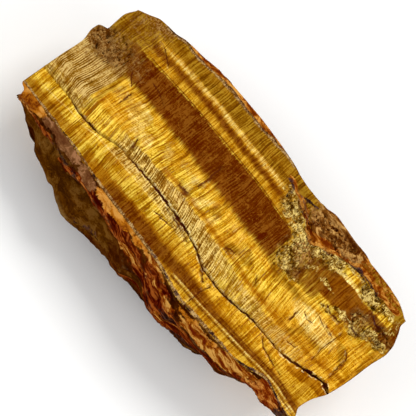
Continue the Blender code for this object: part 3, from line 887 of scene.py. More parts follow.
    def add_broken_corner(self) -> None:
        """Adds rubble, earthy matrix, the rust seam and dark stains at the back right."""
        at, x, y, near = self.at, self.ragged_x, self.ragged_y, self.shallow
        seam = curve(self.stone.form.rust_seam, at.x)
        torn_x = x + 1.8 * self.wave((3.6, 3.0, 4.0), 9)
        torn_y = y + 1.6 * grain(at.x, at.y + 33, at.z, (3.6, 3.0, 4.0))
        holes = 0.62 + 0.55 * ramp(-0.25, 0.25, self.wave((1.9, 2.6, 2.0), 71))
        self.add_patches("rubble", torn_x, torn_y, 0.5, RUBBLE_PATCHES, holes, near)
        self.add_patches(
            "earth", torn_x, torn_y, 0.5, ((27.0, 8.0, 4.6, 3.6, 0.6), (52.4, 12.8, 3.2, 3.0, 0.6)), near
        )
        # Pale streaks among the rubble: the ones at x 59.4, 50.5 and 37.8 are painted glints, and the one at
        # x 24.6 is a column of pale crumbs.
        streaks = (
            (59.4, 13.2, 4.0, 0.5, 0.6), (50.5, 10.0, 3.0, 0.5, 0.6), (37.8, 12.0, 2.4, 0.5, 0.6),
            (24.6, 14.0, 0.8, 3.0, 0.6),
        )  # fmt: skip
        self.add_patches("pale", torn_x, torn_y, 0.5, streaks, near)
        matrix = strip(torn_x, 20, 60, 2.2) * ramp(0.6, 1.4, y - seam) * (1 - 0.5 * ramp(40, 44, x))
        self.add("matrix", matrix * near * 0.9)
        self.add_patches("matrix", x, y, 0.15, ((27.5, 13.5, 3.6, 3.4, 0.5),), near)
        widths = ((6, 0.3), (14, 0.8), (22, 1.0), (25, 1.6), (31, 1.7), (36, 1.1), (44, 0.9), (60, 0.6))
        half_width = curve(widths, at.x)
        from_seam = np.abs(y - seam) / half_width
        self.add("rust", (1 - ramp(0.75, 1.2, from_seam)) * strip(at.x, 8, 59, 1.0) * near)
        self.add("rust", strip(x, 40, 58, 1.5) * ramp(0.2, 0.8, y - seam) * 0.5 * near)
        pink = ridge(at.y - seam - 0.5, 0.35) + ridge(at.y - seam + 0.6, 0.25)
        self.add("mauve", pink * strip(at.x, 12.5, 22.5, 1.0) * 0.7 * near)
        self.add_patches("ink", torn_x, torn_y, 0.4, INK_PATCHES, near)
        lip = ridge(at.y - seam + half_width + 0.2, 0.35) * strip(at.x, 12, 56, 2.0)
        self.add("ink", lip * near * ramp(-0.2, 0.2, self.wave((3.0, 3.0, 3.0))) * 0.6)
        self.add("ink", lip * near * strip(at.x, 38, 51, 1.5) * 0.9)
        self.add_back_rim()

    def add_back_rim(self) -> None:
        """Adds the rust that shows along the back rim, with its dark and pale contact lines."""
        at = self.at
        widths = ((-44, 0.0), (-41, 0.2), (-36, 0.8), (-30, 1.5), (-24, 1.0), (-10, 1.5), (-4, 0.9), (3, 0.0))
        rust_width = curve(widths, at.x)
        wavy = curve(self.stone.form.back_rim, at.x) - at.y + 0.35 * (self.ragged_y - at.y)
        on_rim = self.on_face * strip(at.x, -42, 2, 1.0)
        self.add("rust", (1 - ramp(-0.15, 0.15, wavy - rust_width)) * on_rim)
        rim_span = strip(at.x, -48, 7, 1.5) * self.on_face
        self.add("contact", strip(wavy, rust_width + 0.1, rust_width + 0.9, 0.25) * rim_span * 0.8)
        self.add("ink", strip(wavy, rust_width, rust_width + 0.3, 0.12) * rim_span * 0.8)

    def add_front_rind(self) -> None:
        """Adds the hard rock of the front wall: thin layers near the rim over dark, smooth rock."""
        at, on_wall = self.at, 1 - self.on_face
        thick = 0.5 + 2.6 * ramp(0.3, 4.0, at.depth)
        rind = (1 - ramp(-0.3, 0.3, at.into_front - thick)) * on_wall
        widths = (
            (-61, 1.2), (-30, 1.0), (-20, 1.2), (-5, 1.3), (6, 1.5), (16, 2.2), (28, 1.9), (36, 1.1),
            (44, 1.9), (50, 1.2), (61, 0.8),
        )  # fmt: skip
        wavy = at.into_front + 0.3 * (self.ragged_y - at.y) + 0.1
        contact = (1 - ramp(0.6, 1.2, wavy / (0.52 * curve(widths, at.x)))) * self.on_face
        self.add("contact", contact * 0.85)
        spots = self.wave((2.2, 1.4, 2.2), 17) + 0.35 * ramp(34, 42, at.x) - 0.35 * (1 - ramp(-20, 5, at.x))
        self.add("ink", contact * ramp(0.05, 0.35, spots) * 0.8)
        self.add("contact", strip(at.into_front, thick, thick + 0.6, 0.2) * on_wall * 0.5)
        self.add("rock", rind)
        deep = self.ragged_depth
        slanted = at.x + 3.0 * self.wave((6.0, 5.0, 3.0)) - 0.8 * deep
        upright = slanted + 0.8 * deep
        for zone, level, soft, patches in FRONT_PATCHES:
            place = upright if level else slanted
            for middle_x, middle_depth, half_x, half_depth, amount in patches:
                oval = patch(place, deep, (middle_x, middle_depth), (half_x, half_depth), soft)
                self.add(zone, rind * oval * amount)

    def add_back_rind(self) -> None:
        """Adds the rusty, scaly rock of the back wall."""
        at, x, on_wall = self.at, self.ragged_x, 1 - self.on_face
        thick = 1.8 * ramp(0.2, 2.0, at.depth)
        rind = (1 - ramp(-0.2, 0.2, at.into_back - thick)) * on_wall
        self.add("ink", strip(at.into_back, thick, thick + 0.6, 0.2) * on_wall * 0.7)
        self.add("rock", rind)
        slope = at.z + 0.25 * at.x
        near_rim = 0.30 * (1 - ramp(3.0, 9.0, self.ragged_depth))
        for zone, draw, low, amount, rises in (
            ("moss", 7, -0.05, 0.9, False), ("maroon", 3, 0.02, 0.85, False), ("jasper", 11, 0.44, 0.8, True),
            ("ochre", 29, 0.56, 0.6, True), ("mauve", 37, 0.44, 0.8, True), ("dark", 47, 0.42, 0.6, False),
        ):  # fmt: skip
            spread = grain(x + 40 * draw, at.y, slope * 1.2 + 9 * draw, (21.0, 9.0, 8.0))
            spread += 0.35 * grain(x + 11 * draw, at.y, slope + 5 * draw, (6.0, 4.0, 2.4))
            if rises:
                spread += near_rim
            self.add(zone, rind * ramp(low - 0.16, low + 0.16, spread) * amount)

    def cracks(self) -> dict[str, Array]:
        """Returns how far each place is from the cracks, in crack widths, and where each crack is.

        The hair cracks take turns on a few tracks, so that two neighbours never share one.
        """
        x, y = self.at.x, self.at.y
        near_face = 1 - ramp(1.0, 5.0, self.at.depth)
        found = {
            "crack_away": y - curve(self.stone.form.crack, x),
            "crack_open": curve(self.stone.crack_drawn, x) * near_face,
        }
        for track in range(HAIR_TRACKS):
            side, here, nearest = np.full_like(x, 9.0), np.zeros_like(x), np.full_like(x, 1e3)
            for crack in HAIR_CRACKS[track::HAIR_TRACKS]:
                left, away = crack.across(x, y)
                closer = away < nearest
                side = np.where(closer, np.clip(left / crack.width, -9, 9), side)
                here = np.where(closer, 1 - ramp(0.3, 0.9, away - np.abs(left)), here)
                nearest = np.minimum(nearest, away)
            found[f"hair_{track}"] = side
            found[f"hair_here_{track}"] = here * self.on_face
        return found

    def work_out(self) -> dict[str, Array]:
        """Returns each zone's share at each place, in painting order."""
        self.add_bands()
        self.add_silver()
        self.add_left_end()
        self.add_broken_corner()
        self.add_front_rind()
        self.add_back_rind()
        return {zone.name: self.shares[zone.name] for zone in ZONES}


# ---------------------------------------------------------------- shader groups


@dataclass
class Wiring:
    """Adds nodes to one node tree and joins them."""

    tree: bpy.types.NodeTree

    def add(self, kind: str, **settings: object) -> bpy.types.Node:
        """Returns a new node with its settings made."""
        node = self.tree.nodes.new(kind)
        for name, value in settings.items():
            setattr(node, name, value)
        return node

    def feed(self, socket: Socket, value: object) -> None:
        """Joins a socket to another, or sets its value."""
        if isinstance(value, Socket):
            self.tree.links.new(value, socket)
        else:
            socket.default_value = value

    def put(self, node: bpy.types.Node, values: dict[str, object]) -> None:
        """Joins or sets a node's inputs, by name."""
        for name, value in values.items():
            self.feed(node.inputs[name], value)

    def sum(self, operation: str, *values: object) -> Socket:
        """Returns the result of a Math node."""
        node = self.add("ShaderNodeMath", operation=operation)
        for socket, value in zip(node.inputs, values):
            self.feed(socket, value)
        return node.outputs[0]

    def plus(self, value: object, more: object) -> Socket:
        """Returns value + more."""
        return self.sum("ADD", value, more)

    def times(self, value: object, factor: object) -> Socket:
        """Returns value * factor."""
        return self.sum("MULTIPLY", value, factor)

    def blend_in(self, part: object, amount: object, value: object) -> Socket:
        """Returns value + part * amount."""
        return self.sum("MULTIPLY_ADD", part, amount, value)

    def centred(self, value: Socket) -> Socket:
        """Returns noise moved so that it is 0 on average."""
        return self.sum("SUBTRACT", value, 0.5)

    def clamped(self, value: Socket) -> Socket:
        """Returns value kept between 0 and 1."""
        return self.sum("MINIMUM", self.sum("MAXIMUM", value, 0.0), 1.0)

    def spread(self, value: object, low: float, high: float, start: float = 0.0, end: float = 1.0) -> Socket:
        """Returns a value stretched from low..high to start..end, smooth and clamped."""
        node = self.add("ShaderNodeMapRange", interpolation_type="SMOOTHSTEP")
        for socket, part in zip(node.inputs, (value, low, high, start, end)):
            self.feed(socket, part)
        return node.outputs[0]

    def colour(self, low: object, high: object, share: object) -> Socket:
        """Returns a colour between low and high."""
        node = self.add("ShaderNodeMix", data_type="RGBA")
        self.feed(node.inputs[0], share)
        self.feed(node.inputs[6], low)
        self.feed(node.inputs[7], high)
        return node.outputs[2]

    def tones(self, colours: tuple[Quad, Quad, Quad], share: Socket) -> Socket:
        """Returns a colour from dark, through middle, to light."""
        node = self.add("ShaderNodeValToRGB")
        stops = node.color_ramp.elements
        stops[0].position, stops[0].color = DARK_STOP, colours[0]
        stops[1].position, stops[1].color = LIGHT_STOP, colours[2]
        stops.new(0.5).color = colours[1]
        self.feed(node.inputs[0], share)
        return node.outputs[0]

    def turned(self, place: Socket, slant: float) -> Socket:
        """Returns places turned about Y, so that layers slope down along X."""
        node = self.add("ShaderNodeMapping", vector_type="POINT")
        self.put(node, {"Vector": place, "Rotation": (0.0, slant, 0.0)})
        return node.outputs[0]

    def scaled(self, place: Socket, size: Triple, shift: float = 0.0) -> Socket:
        """Returns places divided by a size, so that a pattern gets that size."""
        node = self.add("ShaderNodeMapping", vector_type="POINT")
        start = (shift, shift * 1.7, shift * 0.6)
        self.put(node, {"Vector": place, "Scale": tuple(1 / part for part in size), "Location": start})
        return node.outputs[0]

    def noise(
        self, place: Socket, size: Triple, detail: float = 2.0, shift: float = 0.0
    ) -> Socket:
        """Returns soft noise of a size, about 0.5 on average."""
        node = self.add("ShaderNodeTexNoise", noise_dimensions="3D")
        at = self.scaled(place, size, shift)
        self.put(node, {"Vector": at, "Scale": 1.0, "Detail": detail, "Roughness": 0.55})
        return node.outputs[0]

    def warped(self, place: Socket, size: float, reach: float) -> Socket:
        """Returns places pushed about by slow noise, by up to half of reach."""
        wander = self.add("ShaderNodeTexNoise", noise_dimensions="3D")
        at = self.scaled(place, (size, size, size), 5.0)
        self.put(wander, {"Vector": at, "Scale": 1.0, "Detail": 2.0})
        bent = self.add("ShaderNodeVectorMath", operation="MULTIPLY_ADD")
        self.feed(bent.inputs[0], wander.outputs["Color"])
        bent.inputs[1].default_value = (reach, reach, reach)
        self.feed(bent.inputs[2], place)
        return bent.outputs[0]

    def lines(self, value: Socket, at: float, width: float) -> Socket:
        """Returns 1 where a value passes a level, fading to 0 at width either side."""
        away = self.sum("ABSOLUTE", self.sum("SUBTRACT", value, at))
        return self.spread(away, 0.0, width, 1.0, 0.0)


class Pattern:
    """A shader node group that turns places into a pattern of light and dark."""

    title = "Pattern"
    outputs = ("Value", "Height")

    def __init__(self) -> None:
        """Builds the group once."""
        self.group = bpy.data.node_groups.new(self.title, "ShaderNodeTree")
        place = self.group.interface.new_socket("Place", in_out="INPUT", socket_type="NodeSocketVector")
        place.description = "Places in millimetres"
        for name in self.outputs:
            self.group.interface.new_socket(name, in_out="OUTPUT", socket_type="NodeSocketFloat")
        wiring = Wiring(self.group)
        start = wiring.add("NodeGroupInput")
        end = wiring.add("NodeGroupOutput")
        for name, value in zip(self.outputs, self.draw(wiring, start.outputs["Place"])):
            wiring.feed(end.inputs[name], value)

    def draw(self, wiring: Wiring, place: Socket) -> tuple[Socket, ...]:
        """Returns one value for each output."""
        raise NotImplementedError

    def use(self, wiring: Wiring, place: Socket) -> dict[str, Socket]:
        """Places the group in a material and returns its outputs by name."""
        node = wiring.add("ShaderNodeGroup", node_tree=self.group)
        wiring.feed(node.inputs["Place"], place)
        return {name: node.outputs[name] for name in self.outputs}


class FibrePattern(Pattern):
    """Silky fibres: hair-fine streaks, single dark lines, clusters of lines and slow drifts in brightness.

    Each layer of noise has its width and length in millimetres, and then its strength.
    """

    title = "Silky fibres"
    outputs = ("Value", "Height", "Glint", "Edge")
    hair = (0.34, 6.0, 1.6)
    strand = (0.75, 14.0, 1.3)
    column = (2.4, 24.0, 0.6)
    drift = (4.4, 2.8, 1.0)
    cross = (11.0, 0.42, 0.25)
    grit = (0.42, 0.55, 0.9)
    comb = (0.74, 0.16)
    crackle = 0.10
    dark_lines = 1.0

    def comb_lines(self, wiring: Wiring, place: Socket) -> Socket:
        """Returns even, slowly wandering lines along the fibres, from -1 to 1."""
        parts = wiring.add("ShaderNodeSeparateXYZ")
        wiring.feed(parts.inputs[0], place)
        wander = wiring.times(wiring.noise(place, (3.2, 14.0, 3.2), 1.0, 57.0), 14.0)
        swell = wiring.spread(wiring.noise(place, (3.0, 5.0, 3.0), 2.0, 67.0), 0.36, 0.60, 0.2, 1.0)
        angle = wiring.blend_in(parts.outputs[0], 2 * math.pi / self.comb[0], wander)
        return wiring.times(wiring.sum("SINE", angle), swell)

    def draw(self, wiring: Wiring, place: Socket) -> tuple[Socket, ...]:
        """Returns brightness, height, glint and the raggedness of a band's edge."""
        light = None
        layers = (self.hair, self.strand, self.column, self.drift, self.cross, self.grit)
        for number, (width, length, strength) in enumerate(layers):
            layer = wiring.noise(place, (width, length, width), 1.0 + (number > 2), 3.0 + 17.0 * number)
            centred = wiring.centred(layer)
            light = wiring.blend_in(centred, strength, 0.60 if light is None else light)
        light = wiring.blend_in(self.comb_lines(wiring, place), self.comb[1], light)
        crackle = wiring.lines(wiring.noise(place, (2.1, 2.8, 2.1), 2.0, 71.0), 0.5, 0.05)
        broken = wiring.spread(wiring.noise(place, (1.6, 1.6, 1.6), 2.0, 73.0), 0.50, 0.60)
        light = wiring.blend_in(wiring.times(crackle, broken), self.crackle, light)
        thin = wiring.spread(wiring.noise(place, (0.48, 18.0, 0.48), 0.0, 11.0), 0.30, 0.42, 1.0, 0.0)
        wide = wiring.spread(wiring.noise(place, (1.2, 26.0, 1.2), 0.0, 23.0), 0.24, 0.34, 1.0, 0.0)
        cluster = wiring.spread(wiring.noise(place, (4.0, 14.0, 4.0), 2.0, 31.0), 0.38, 0.62)
        pit = wiring.spread(wiring.noise(place, (0.75, 0.85, 0.75), 1.0, 97.0), 0.67, 0.76)
        for part, least, more in ((thin, -0.10, -0.34), (wide, -0.15, -0.25)):
            depth = wiring.blend_in(cluster, more * self.dark_lines, least * self.dark_lines)
            light = wiring.blend_in(part, depth, light)
        light = wiring.blend_in(pit, -0.5, light)
        value = wiring.clamped(light)
        glint = wiring.spread(wiring.noise(place, (0.5, 3.2, 0.5), 1.0, 51.0), 0.60, 0.75)
        edge = wiring.noise(place, (0.5, 5.0, 0.5), 2.0, 61.0)
        return value, value, glint, edge


class SatinPattern(FibrePattern):
    """Smooth, even fibres, with faint layers across them."""

    title = "Satin fibres"
    hair = (0.34, 6.0, 1.2)
    strand = (0.75, 14.0, 0.7)
    column = (2.4, 24.0, 0.4)
    drift = (5.0, 2.2, 0.9)
    cross = (14.0, 0.40, 0.8)
    grit = (0.42, 0.50, 0.8)
    comb = (0.80, 0.08)
    dark_lines = 0.5


class CombPattern(FibrePattern):
    """Dull fibres that lie in even, fine lines."""

    title = "Combed fibres"
    hair = (0.32, 5.0, 1.5)
    strand = (0.60, 11.0, 0.9)
    column = (2.4, 24.0, 0.5)
    drift = (4.4, 2.8, 0.8)
    cross = (2.0, 0.42, 0.5)
    grit = (0.36, 0.50, 1.0)
    comb = (0.60, 0.36)
    crackle = 0.20
    dark_lines = 1.1


class SplinterPattern(FibrePattern):
    """Broken fibres with dark gaps and bright beads."""

    title = "Splintered fibres"
    hair = (0.36, 3.8, 1.5)
    strand = (0.80, 9.0, 0.8)
    column = (2.4, 14.0, 0.3)
    drift = (3.2, 2.0, 1.0)
    cross = (2.2, 0.42, 0.9)
    grit = (0.34, 0.42, 1.2)
    comb = (0.70, 0.26)
    dark_lines = 0.9


class SmokePattern(FibrePattern):
    """Fibres under a cloudy brown stain, with fine flecks."""

    title = "Smoky fibres"
    hair = (0.34, 5.0, 1.5)
    strand = (0.90, 9.0, 0.7)
    column = (4.0, 14.0, 0.5)
    drift = (3.4, 3.4, 1.5)
    cross = (8.0, 0.50, 0.1)
    grit = (0.42, 0.60, 1.3)
    comb = (0.76, 0.12)
    crackle = 0.75
    dark_lines = 0.6


class CrumbPattern(Pattern):
    """Broken, crumbly ground: bright splinters of fibre with dark joints."""

    title = "Broken crumb"
    chip = (0.65, 1.35, 0.80)
    joint = 0.45
    uneven = 0.70
    grit = 2.1

    def draw(self, wiring: Wiring, place: Socket) -> tuple[Socket, ...]:
        """Returns brightness and height."""
        bent = wiring.warped(place, 1.4, 1.7)
        chip = wiring.add("ShaderNodeTexVoronoi", feature="F1")
        wiring.put(chip, {"Vector": wiring.scaled(bent, self.chip), "Scale": 1.0})
        tone = wiring.add("ShaderNodeSeparateColor")
        wiring.feed(tone.inputs[0], chip.outputs["Color"])
        grit = wiring.noise(place, (0.30, 0.85, 0.30), 2.0, 7.0)
        drift = wiring.noise(place, (3.2, 2.4, 3.2), 2.0, 15.0)
        body = wiring.spread(chip.outputs["Distance"], 0.15, 0.75, 1.0, 0.0)
        jointed = wiring.blend_in(body, self.joint, 1.0 - self.joint)
        value = wiring.times(jointed, wiring.blend_in(tone.outputs[0], self.uneven, 0.45))
        for part, amount in ((grit, self.grit), (drift, 2.1)):
            value = wiring.blend_in(wiring.centred(part), amount, value)
        value = wiring.clamped(value)
        height = wiring.blend_in(body, 0.8, grit)
        return value, height


class FlakePattern(CrumbPattern):
    """Flaky, earthy ground with soft joints."""

    title = "Earthy flakes"
    chip = (0.80, 0.60, 0.60)
    joint = 0.10
    uneven = 0.35
    grit = 2.5


class RockPattern(Pattern):
    """Dense rock: warped clouds of colour with streaks, thin veins and fine specks."""

    title = "Rock clouds"

    def draw(self, wiring: Wiring, place: Socket) -> tuple[Socket, ...]:
        """Returns brightness and height."""
        bent = wiring.warped(wiring.turned(place, -0.35), 5.0, 6.0)
        cloud = wiring.noise(bent, (6.0, 6.0, 3.2), 4.0, 2.0)
        streak = wiring.noise(bent, (5.0, 1.6, 0.9), 3.0, 6.0)
        speck = wiring.noise(place, (0.6, 0.6, 0.45), 2.0, 13.0)
        vein = wiring.lines(wiring.noise(bent, (5.0, 5.0, 3.0), 2.0, 17.0), 0.5, 0.014)
        dark_vein = wiring.lines(wiring.noise(bent, (7.0, 7.0, 3.0), 2.0, 19.0), 0.46, 0.016)
        value = wiring.spread(cloud, 0.26, 0.74)
        for part, amount in ((streak, 1.2), (speck, 0.7)):
            value = wiring.blend_in(wiring.centred(part), amount, value)
        value = wiring.blend_in(vein, 0.28, value)
        value = wiring.blend_in(dark_vein, -0.45, value)
        value = wiring.clamped(value)
        height = wiring.blend_in(streak, 0.6, wiring.times(speck, 0.4))
        return value, height


class LayerPattern(Pattern):
    """Thin, wavy layers that run along the block."""

    title = "Thin layers"

    def draw(self, wiring: Wiring, place: Socket) -> tuple[Socket, ...]:
        """Returns brightness and height."""
        bent = wiring.warped(wiring.turned(place, -0.3), 7.0, 5.0)
        broad = wiring.noise(bent, (8.0, 2.0, 1.3), 3.0, 4.0)
        fine = wiring.noise(bent, (3.6, 0.7, 0.42), 2.0, 14.0)
        bright = wiring.lines(wiring.noise(bent, (6.0, 1.6, 1.0), 2.0, 24.0), 0.52, 0.02)
        value = wiring.spread(broad, 0.32, 0.72)
        value = wiring.blend_in(wiring.centred(fine), 1.5, value)
        value = wiring.blend_in(bright, 0.35, value)
        value = wiring.clamped(value)
        return value, wiring.blend_in(fine, 0.8, broad)


EDGE_SOFTNESS = {Grain.CRUMB: 0.28, Grain.FLAKE: 0.12}
PATTERNS = {
    Grain.FIBRE: FibrePattern,
    Grain.SATIN: SatinPattern,
    Grain.COMB: CombPattern,
    Grain.SPLINTER: SplinterPattern,
    Grain.SMOKE: SmokePattern,
    Grain.CRUMB: CrumbPattern,
    Grain.FLAKE: FlakePattern,
    Grain.ROCK: RockPattern,
    Grain.LAYER: LayerPattern,
}


# ---------------------------------------------------------------- materials


@dataclass(frozen=True)
class StoneFinish:
    """The stone's one material: every zone's colours, laid over one another in painting order."""

    name: str = "tigers_eye_ground"
    crack_colour: str = "3A0E08"
    hair_colour: str = "4C1A08"
    # Pale lips of the long crack, and the painted glints beside the hair cracks.
    lip_and_glint_colour: str = "F4E0A0"
    # Painted shade: hollows and grooves of the mesh are darkened towards this colour, and ridges are
    # lightened towards ridge_colour.
    painted_hollow_shade_colour: str = "5A3A22"
    ridge_colour: str = "F0C878"
    warm_colour: str = "B06008"
    glint_colour: str = "FFEC98"
    specular: float = 0.0
    edge_tint: str = "D8A860"
    fibre_bump: float = 0.00007
    crumb_bump: float = 0.00022
    rock_bump: float = 0.00010

    def attribute(self, wiring: Wiring, name: str, output: str = "Fac") -> Socket:
        """Returns one of the mesh's own attributes."""
        node = wiring.add("ShaderNodeAttribute", attribute_type="GEOMETRY", attribute_name=name)
        return node.outputs[output]

    def crack_lines(
        self, wiring: Wiring, place: Socket
    ) -> tuple[Socket, Socket, Socket]:
        """Draws the cracks.

        Args:
            wiring: where the nodes go.
            place: places in millimetres.

        Returns:
            1 in the long crack, 1 in a hair crack, and 1 on the pale lips of the long crack and on the
            painted glints beside the hair cracks.
        """
        wander = wiring.sum("SUBTRACT", wiring.noise(place, (1.6, 1.6, 1.6), 3.0, 21.0), 0.5)
        swell = wiring.noise(place, (2.4, 2.4, 2.4), 2.0, 25.0)
        opened = self.attribute(wiring, "crack_open")
        away = wiring.blend_in(wander, 1.2, self.attribute(wiring, "crack_away"))
        away = wiring.sum("ABSOLUTE", wiring.plus(away, 0.1))
        width = wiring.times(opened, wiring.spread(swell, 0.30, 0.66, 0.08, 0.42))
        inside = wiring.sum("SUBTRACT", away, width)
        crack = wiring.times(wiring.spread(inside, -0.08, 0.12, 1.0, 0.0), wiring.spread(opened, 0.05, 0.35))
        beyond = wiring.sum("ABSOLUTE", wiring.sum("SUBTRACT", inside, 0.30))
        near = wiring.spread(beyond, 0.08, 0.26, 1.0, 0.0)
        broken = wiring.spread(wiring.noise(place, (1.3, 1.3, 1.3), 2.0, 29.0), 0.46, 0.62)
        lip = wiring.times(wiring.times(near, broken), wiring.spread(opened, 0.3, 0.8))
        hair = 0.0
        jag = wiring.sum("SUBTRACT", wiring.noise(place, (0.7, 0.7, 0.7), 2.0, 33.0), 0.5)
        for track in range(HAIR_TRACKS):
            side = wiring.blend_in(wander, 3.4, self.attribute(wiring, f"hair_{track}"))
            side = wiring.blend_in(jag, 2.2, side)
            line = wiring.spread(wiring.sum("ABSOLUTE", side), 0.3, 1.25, 1.0, 0.0)
            line = wiring.times(line, self.attribute(wiring, f"hair_here_{track}"))
            line = wiring.times(line, wiring.spread(swell, 0.36, 0.54, 0.12, 1.0))
            hair = wiring.sum("MAXIMUM", hair, line)
            # Painted glints: a pale line beside each hair crack, on the silky zones only.
            beside = wiring.spread(wiring.sum("ABSOLUTE", wiring.plus(side, 1.9)), 0.4, 1.3, 0.24, 0.0)
            beside = wiring.times(beside, self.attribute(wiring, f"hair_here_{track}"))
            beside = wiring.times(beside, wiring.spread(self.attribute(wiring, "silk"), 0.12, 0.22))
            lip = wiring.sum("MAXIMUM", lip, wiring.times(beside, broken))
        return crack, hair, lip

    def build(self) -> bpy.types.Material:
        """Returns the material."""
        material = bpy.data.materials.new(self.name)
        material.use_nodes = True
        wiring = Wiring(material.node_tree)
        wiring.tree.nodes.clear()
        fibre_place = self.attribute(wiring, "fibre", "Vector")
        coordinates = wiring.add("ShaderNodeTexCoord")
        millimetres = wiring.scaled(coordinates.outputs["Object"], (MM, MM, MM))
        patterns = {
            grain_kind: kind().use(wiring, fibre_place if grain_kind in FIBROUS else millimetres)
            for grain_kind, kind in PATTERNS.items()
        }
        fibres = patterns[Grain.FIBRE]
        ragged = wiring.centred(fibres["Edge"])
        rough_edge = wiring.noise(millimetres, (0.8, 0.8, 0.8), 2.0, 9.0)
        crumbly = wiring.times(wiring.centred(rough_edge), 1.3)
        base = None
        for zone in ZONES:
            colours = (paint(zone.dark), paint(zone.middle), paint(zone.light))
            own = wiring.tones(colours, patterns[zone.grain]["Value"])
            if base is None:
                base = own
                continue
            fibrous = zone.grain in FIBROUS
            share = wiring.plus(self.attribute(wiring, zone.name), ragged if fibrous else crumbly)
            soft = EDGE_SOFTNESS.get(zone.grain, 0.05 if fibrous else 0.3)
            share = wiring.spread(share, soft, 1.0 - soft)
            covered = wiring.times(share, wiring.spread(self.attribute(wiring, zone.name), 0.0, 0.08))
            base = wiring.colour(base, own, covered)
        crack, hair, lip = self.crack_lines(wiring, millimetres)
        # Pale lips along the long crack, and painted glints beside the hair cracks.
        base = wiring.colour(base, paint(self.lip_and_glint_colour), wiring.times(lip, 0.7))
        # Painted shade: darkens the colour in hollows and grooves by the mesh's curvature, then lightens it
        # on ridges.
        hollow = self.attribute(wiring, "hollow")
        shade = wiring.add("ShaderNodeMix", data_type="RGBA", blend_type="MULTIPLY")
        wiring.feed(shade.inputs[0], wiring.spread(hollow, 0.05, 0.9, 0.0, 0.75))
        wiring.feed(shade.inputs[6], base)
        shade.inputs[7].default_value = paint(self.painted_hollow_shade_colour)
        on_ridge = wiring.spread(hollow, -0.9, -0.15, 0.12, 0.0)
        base_with_painted_shade = wiring.colour(shade.outputs[2], paint(self.ridge_colour), on_ridge)
        base_with_painted_shade = wiring.colour(base_with_painted_shade, paint(self.hair_colour), wiring.times(hair, 0.92))
        base_with_painted_shade = wiring.colour(base_with_painted_shade, paint(self.crack_colour), crack)

        fibre_share = self.attribute(wiring, "fibrous")
        silk = self.attribute(wiring, "silk")
        glint = wiring.times(fibres["Glint"], wiring.spread(silk, 0.22, 0.45, 0.0, 0.45))
        warmth = wiring.spread(wiring.noise(fibre_place, (13.0, 4.5, 13.0), 2.0, 83.0), 0.42, 0.68, 0.0, 0.45)
        warm = wiring.colour(base_with_painted_shade, paint(self.warm_colour), wiring.times(warmth, silk))
        lit = wiring.colour(warm, paint(self.glint_colour), glint)
        gloss = wiring.blend_in(wiring.centred(rough_edge), 0.25, self.attribute(wiring, "gloss"))
        gloss = wiring.blend_in(hollow, 0.15, gloss)
        loose = wiring.sum("SUBTRACT", 1.0, fibre_share)
        fine = wiring.times(wiring.times(fibres["Height"], fibre_share), self.fibre_bump / MM)
        crumb = wiring.times(patterns[Grain.CRUMB]["Height"], self.attribute(wiring, "crumbly"))
        crumb = wiring.times(crumb, self.crumb_bump / MM)
        rock = wiring.times(patterns[Grain.ROCK]["Height"], loose)
        rock = wiring.times(rock, self.rock_bump / MM)
        height = wiring.plus(wiring.plus(fine, crumb), rock)
        bump = wiring.add("ShaderNodeBump")
        wiring.put(bump, {"Strength": 1.0, "Distance": MM, "Height": height})
        surface = wiring.add("ShaderNodeBsdfPrincipled")
        wiring.put(surface, {
            "Base Color": lit,
            "Metallic": silk,
            "Roughness": gloss,
            "Normal": bump.outputs[0],
            "Specular IOR Level": self.specular,
            "Specular Tint": paint(self.edge_tint),
        })  # fmt: skip
        end = wiring.add("ShaderNodeOutputMaterial")
        wiring.feed(end.inputs["Surface"], surface.outputs[0])
        return material


@dataclass(frozen=True)
class FloorFinish:
    """Plain pale studio paper."""

    colour: str = "FBFAF7"
    roughness: float = 0.8

    def build(self) -> bpy.types.Material:
        """Returns the material."""
        material = bpy.data.materials.new("studio_paper")
        material.use_nodes = True
        surface = material.node_tree.nodes["Principled BSDF"]
        surface.inputs["Base Color"].default_value = paint(self.colour)
        surface.inputs["Roughness"].default_value = self.roughness
        surface.inputs["Specular IOR Level"].default_value = 0.2
        return material


# ---------------------------------------------------------------- the piece and the studio


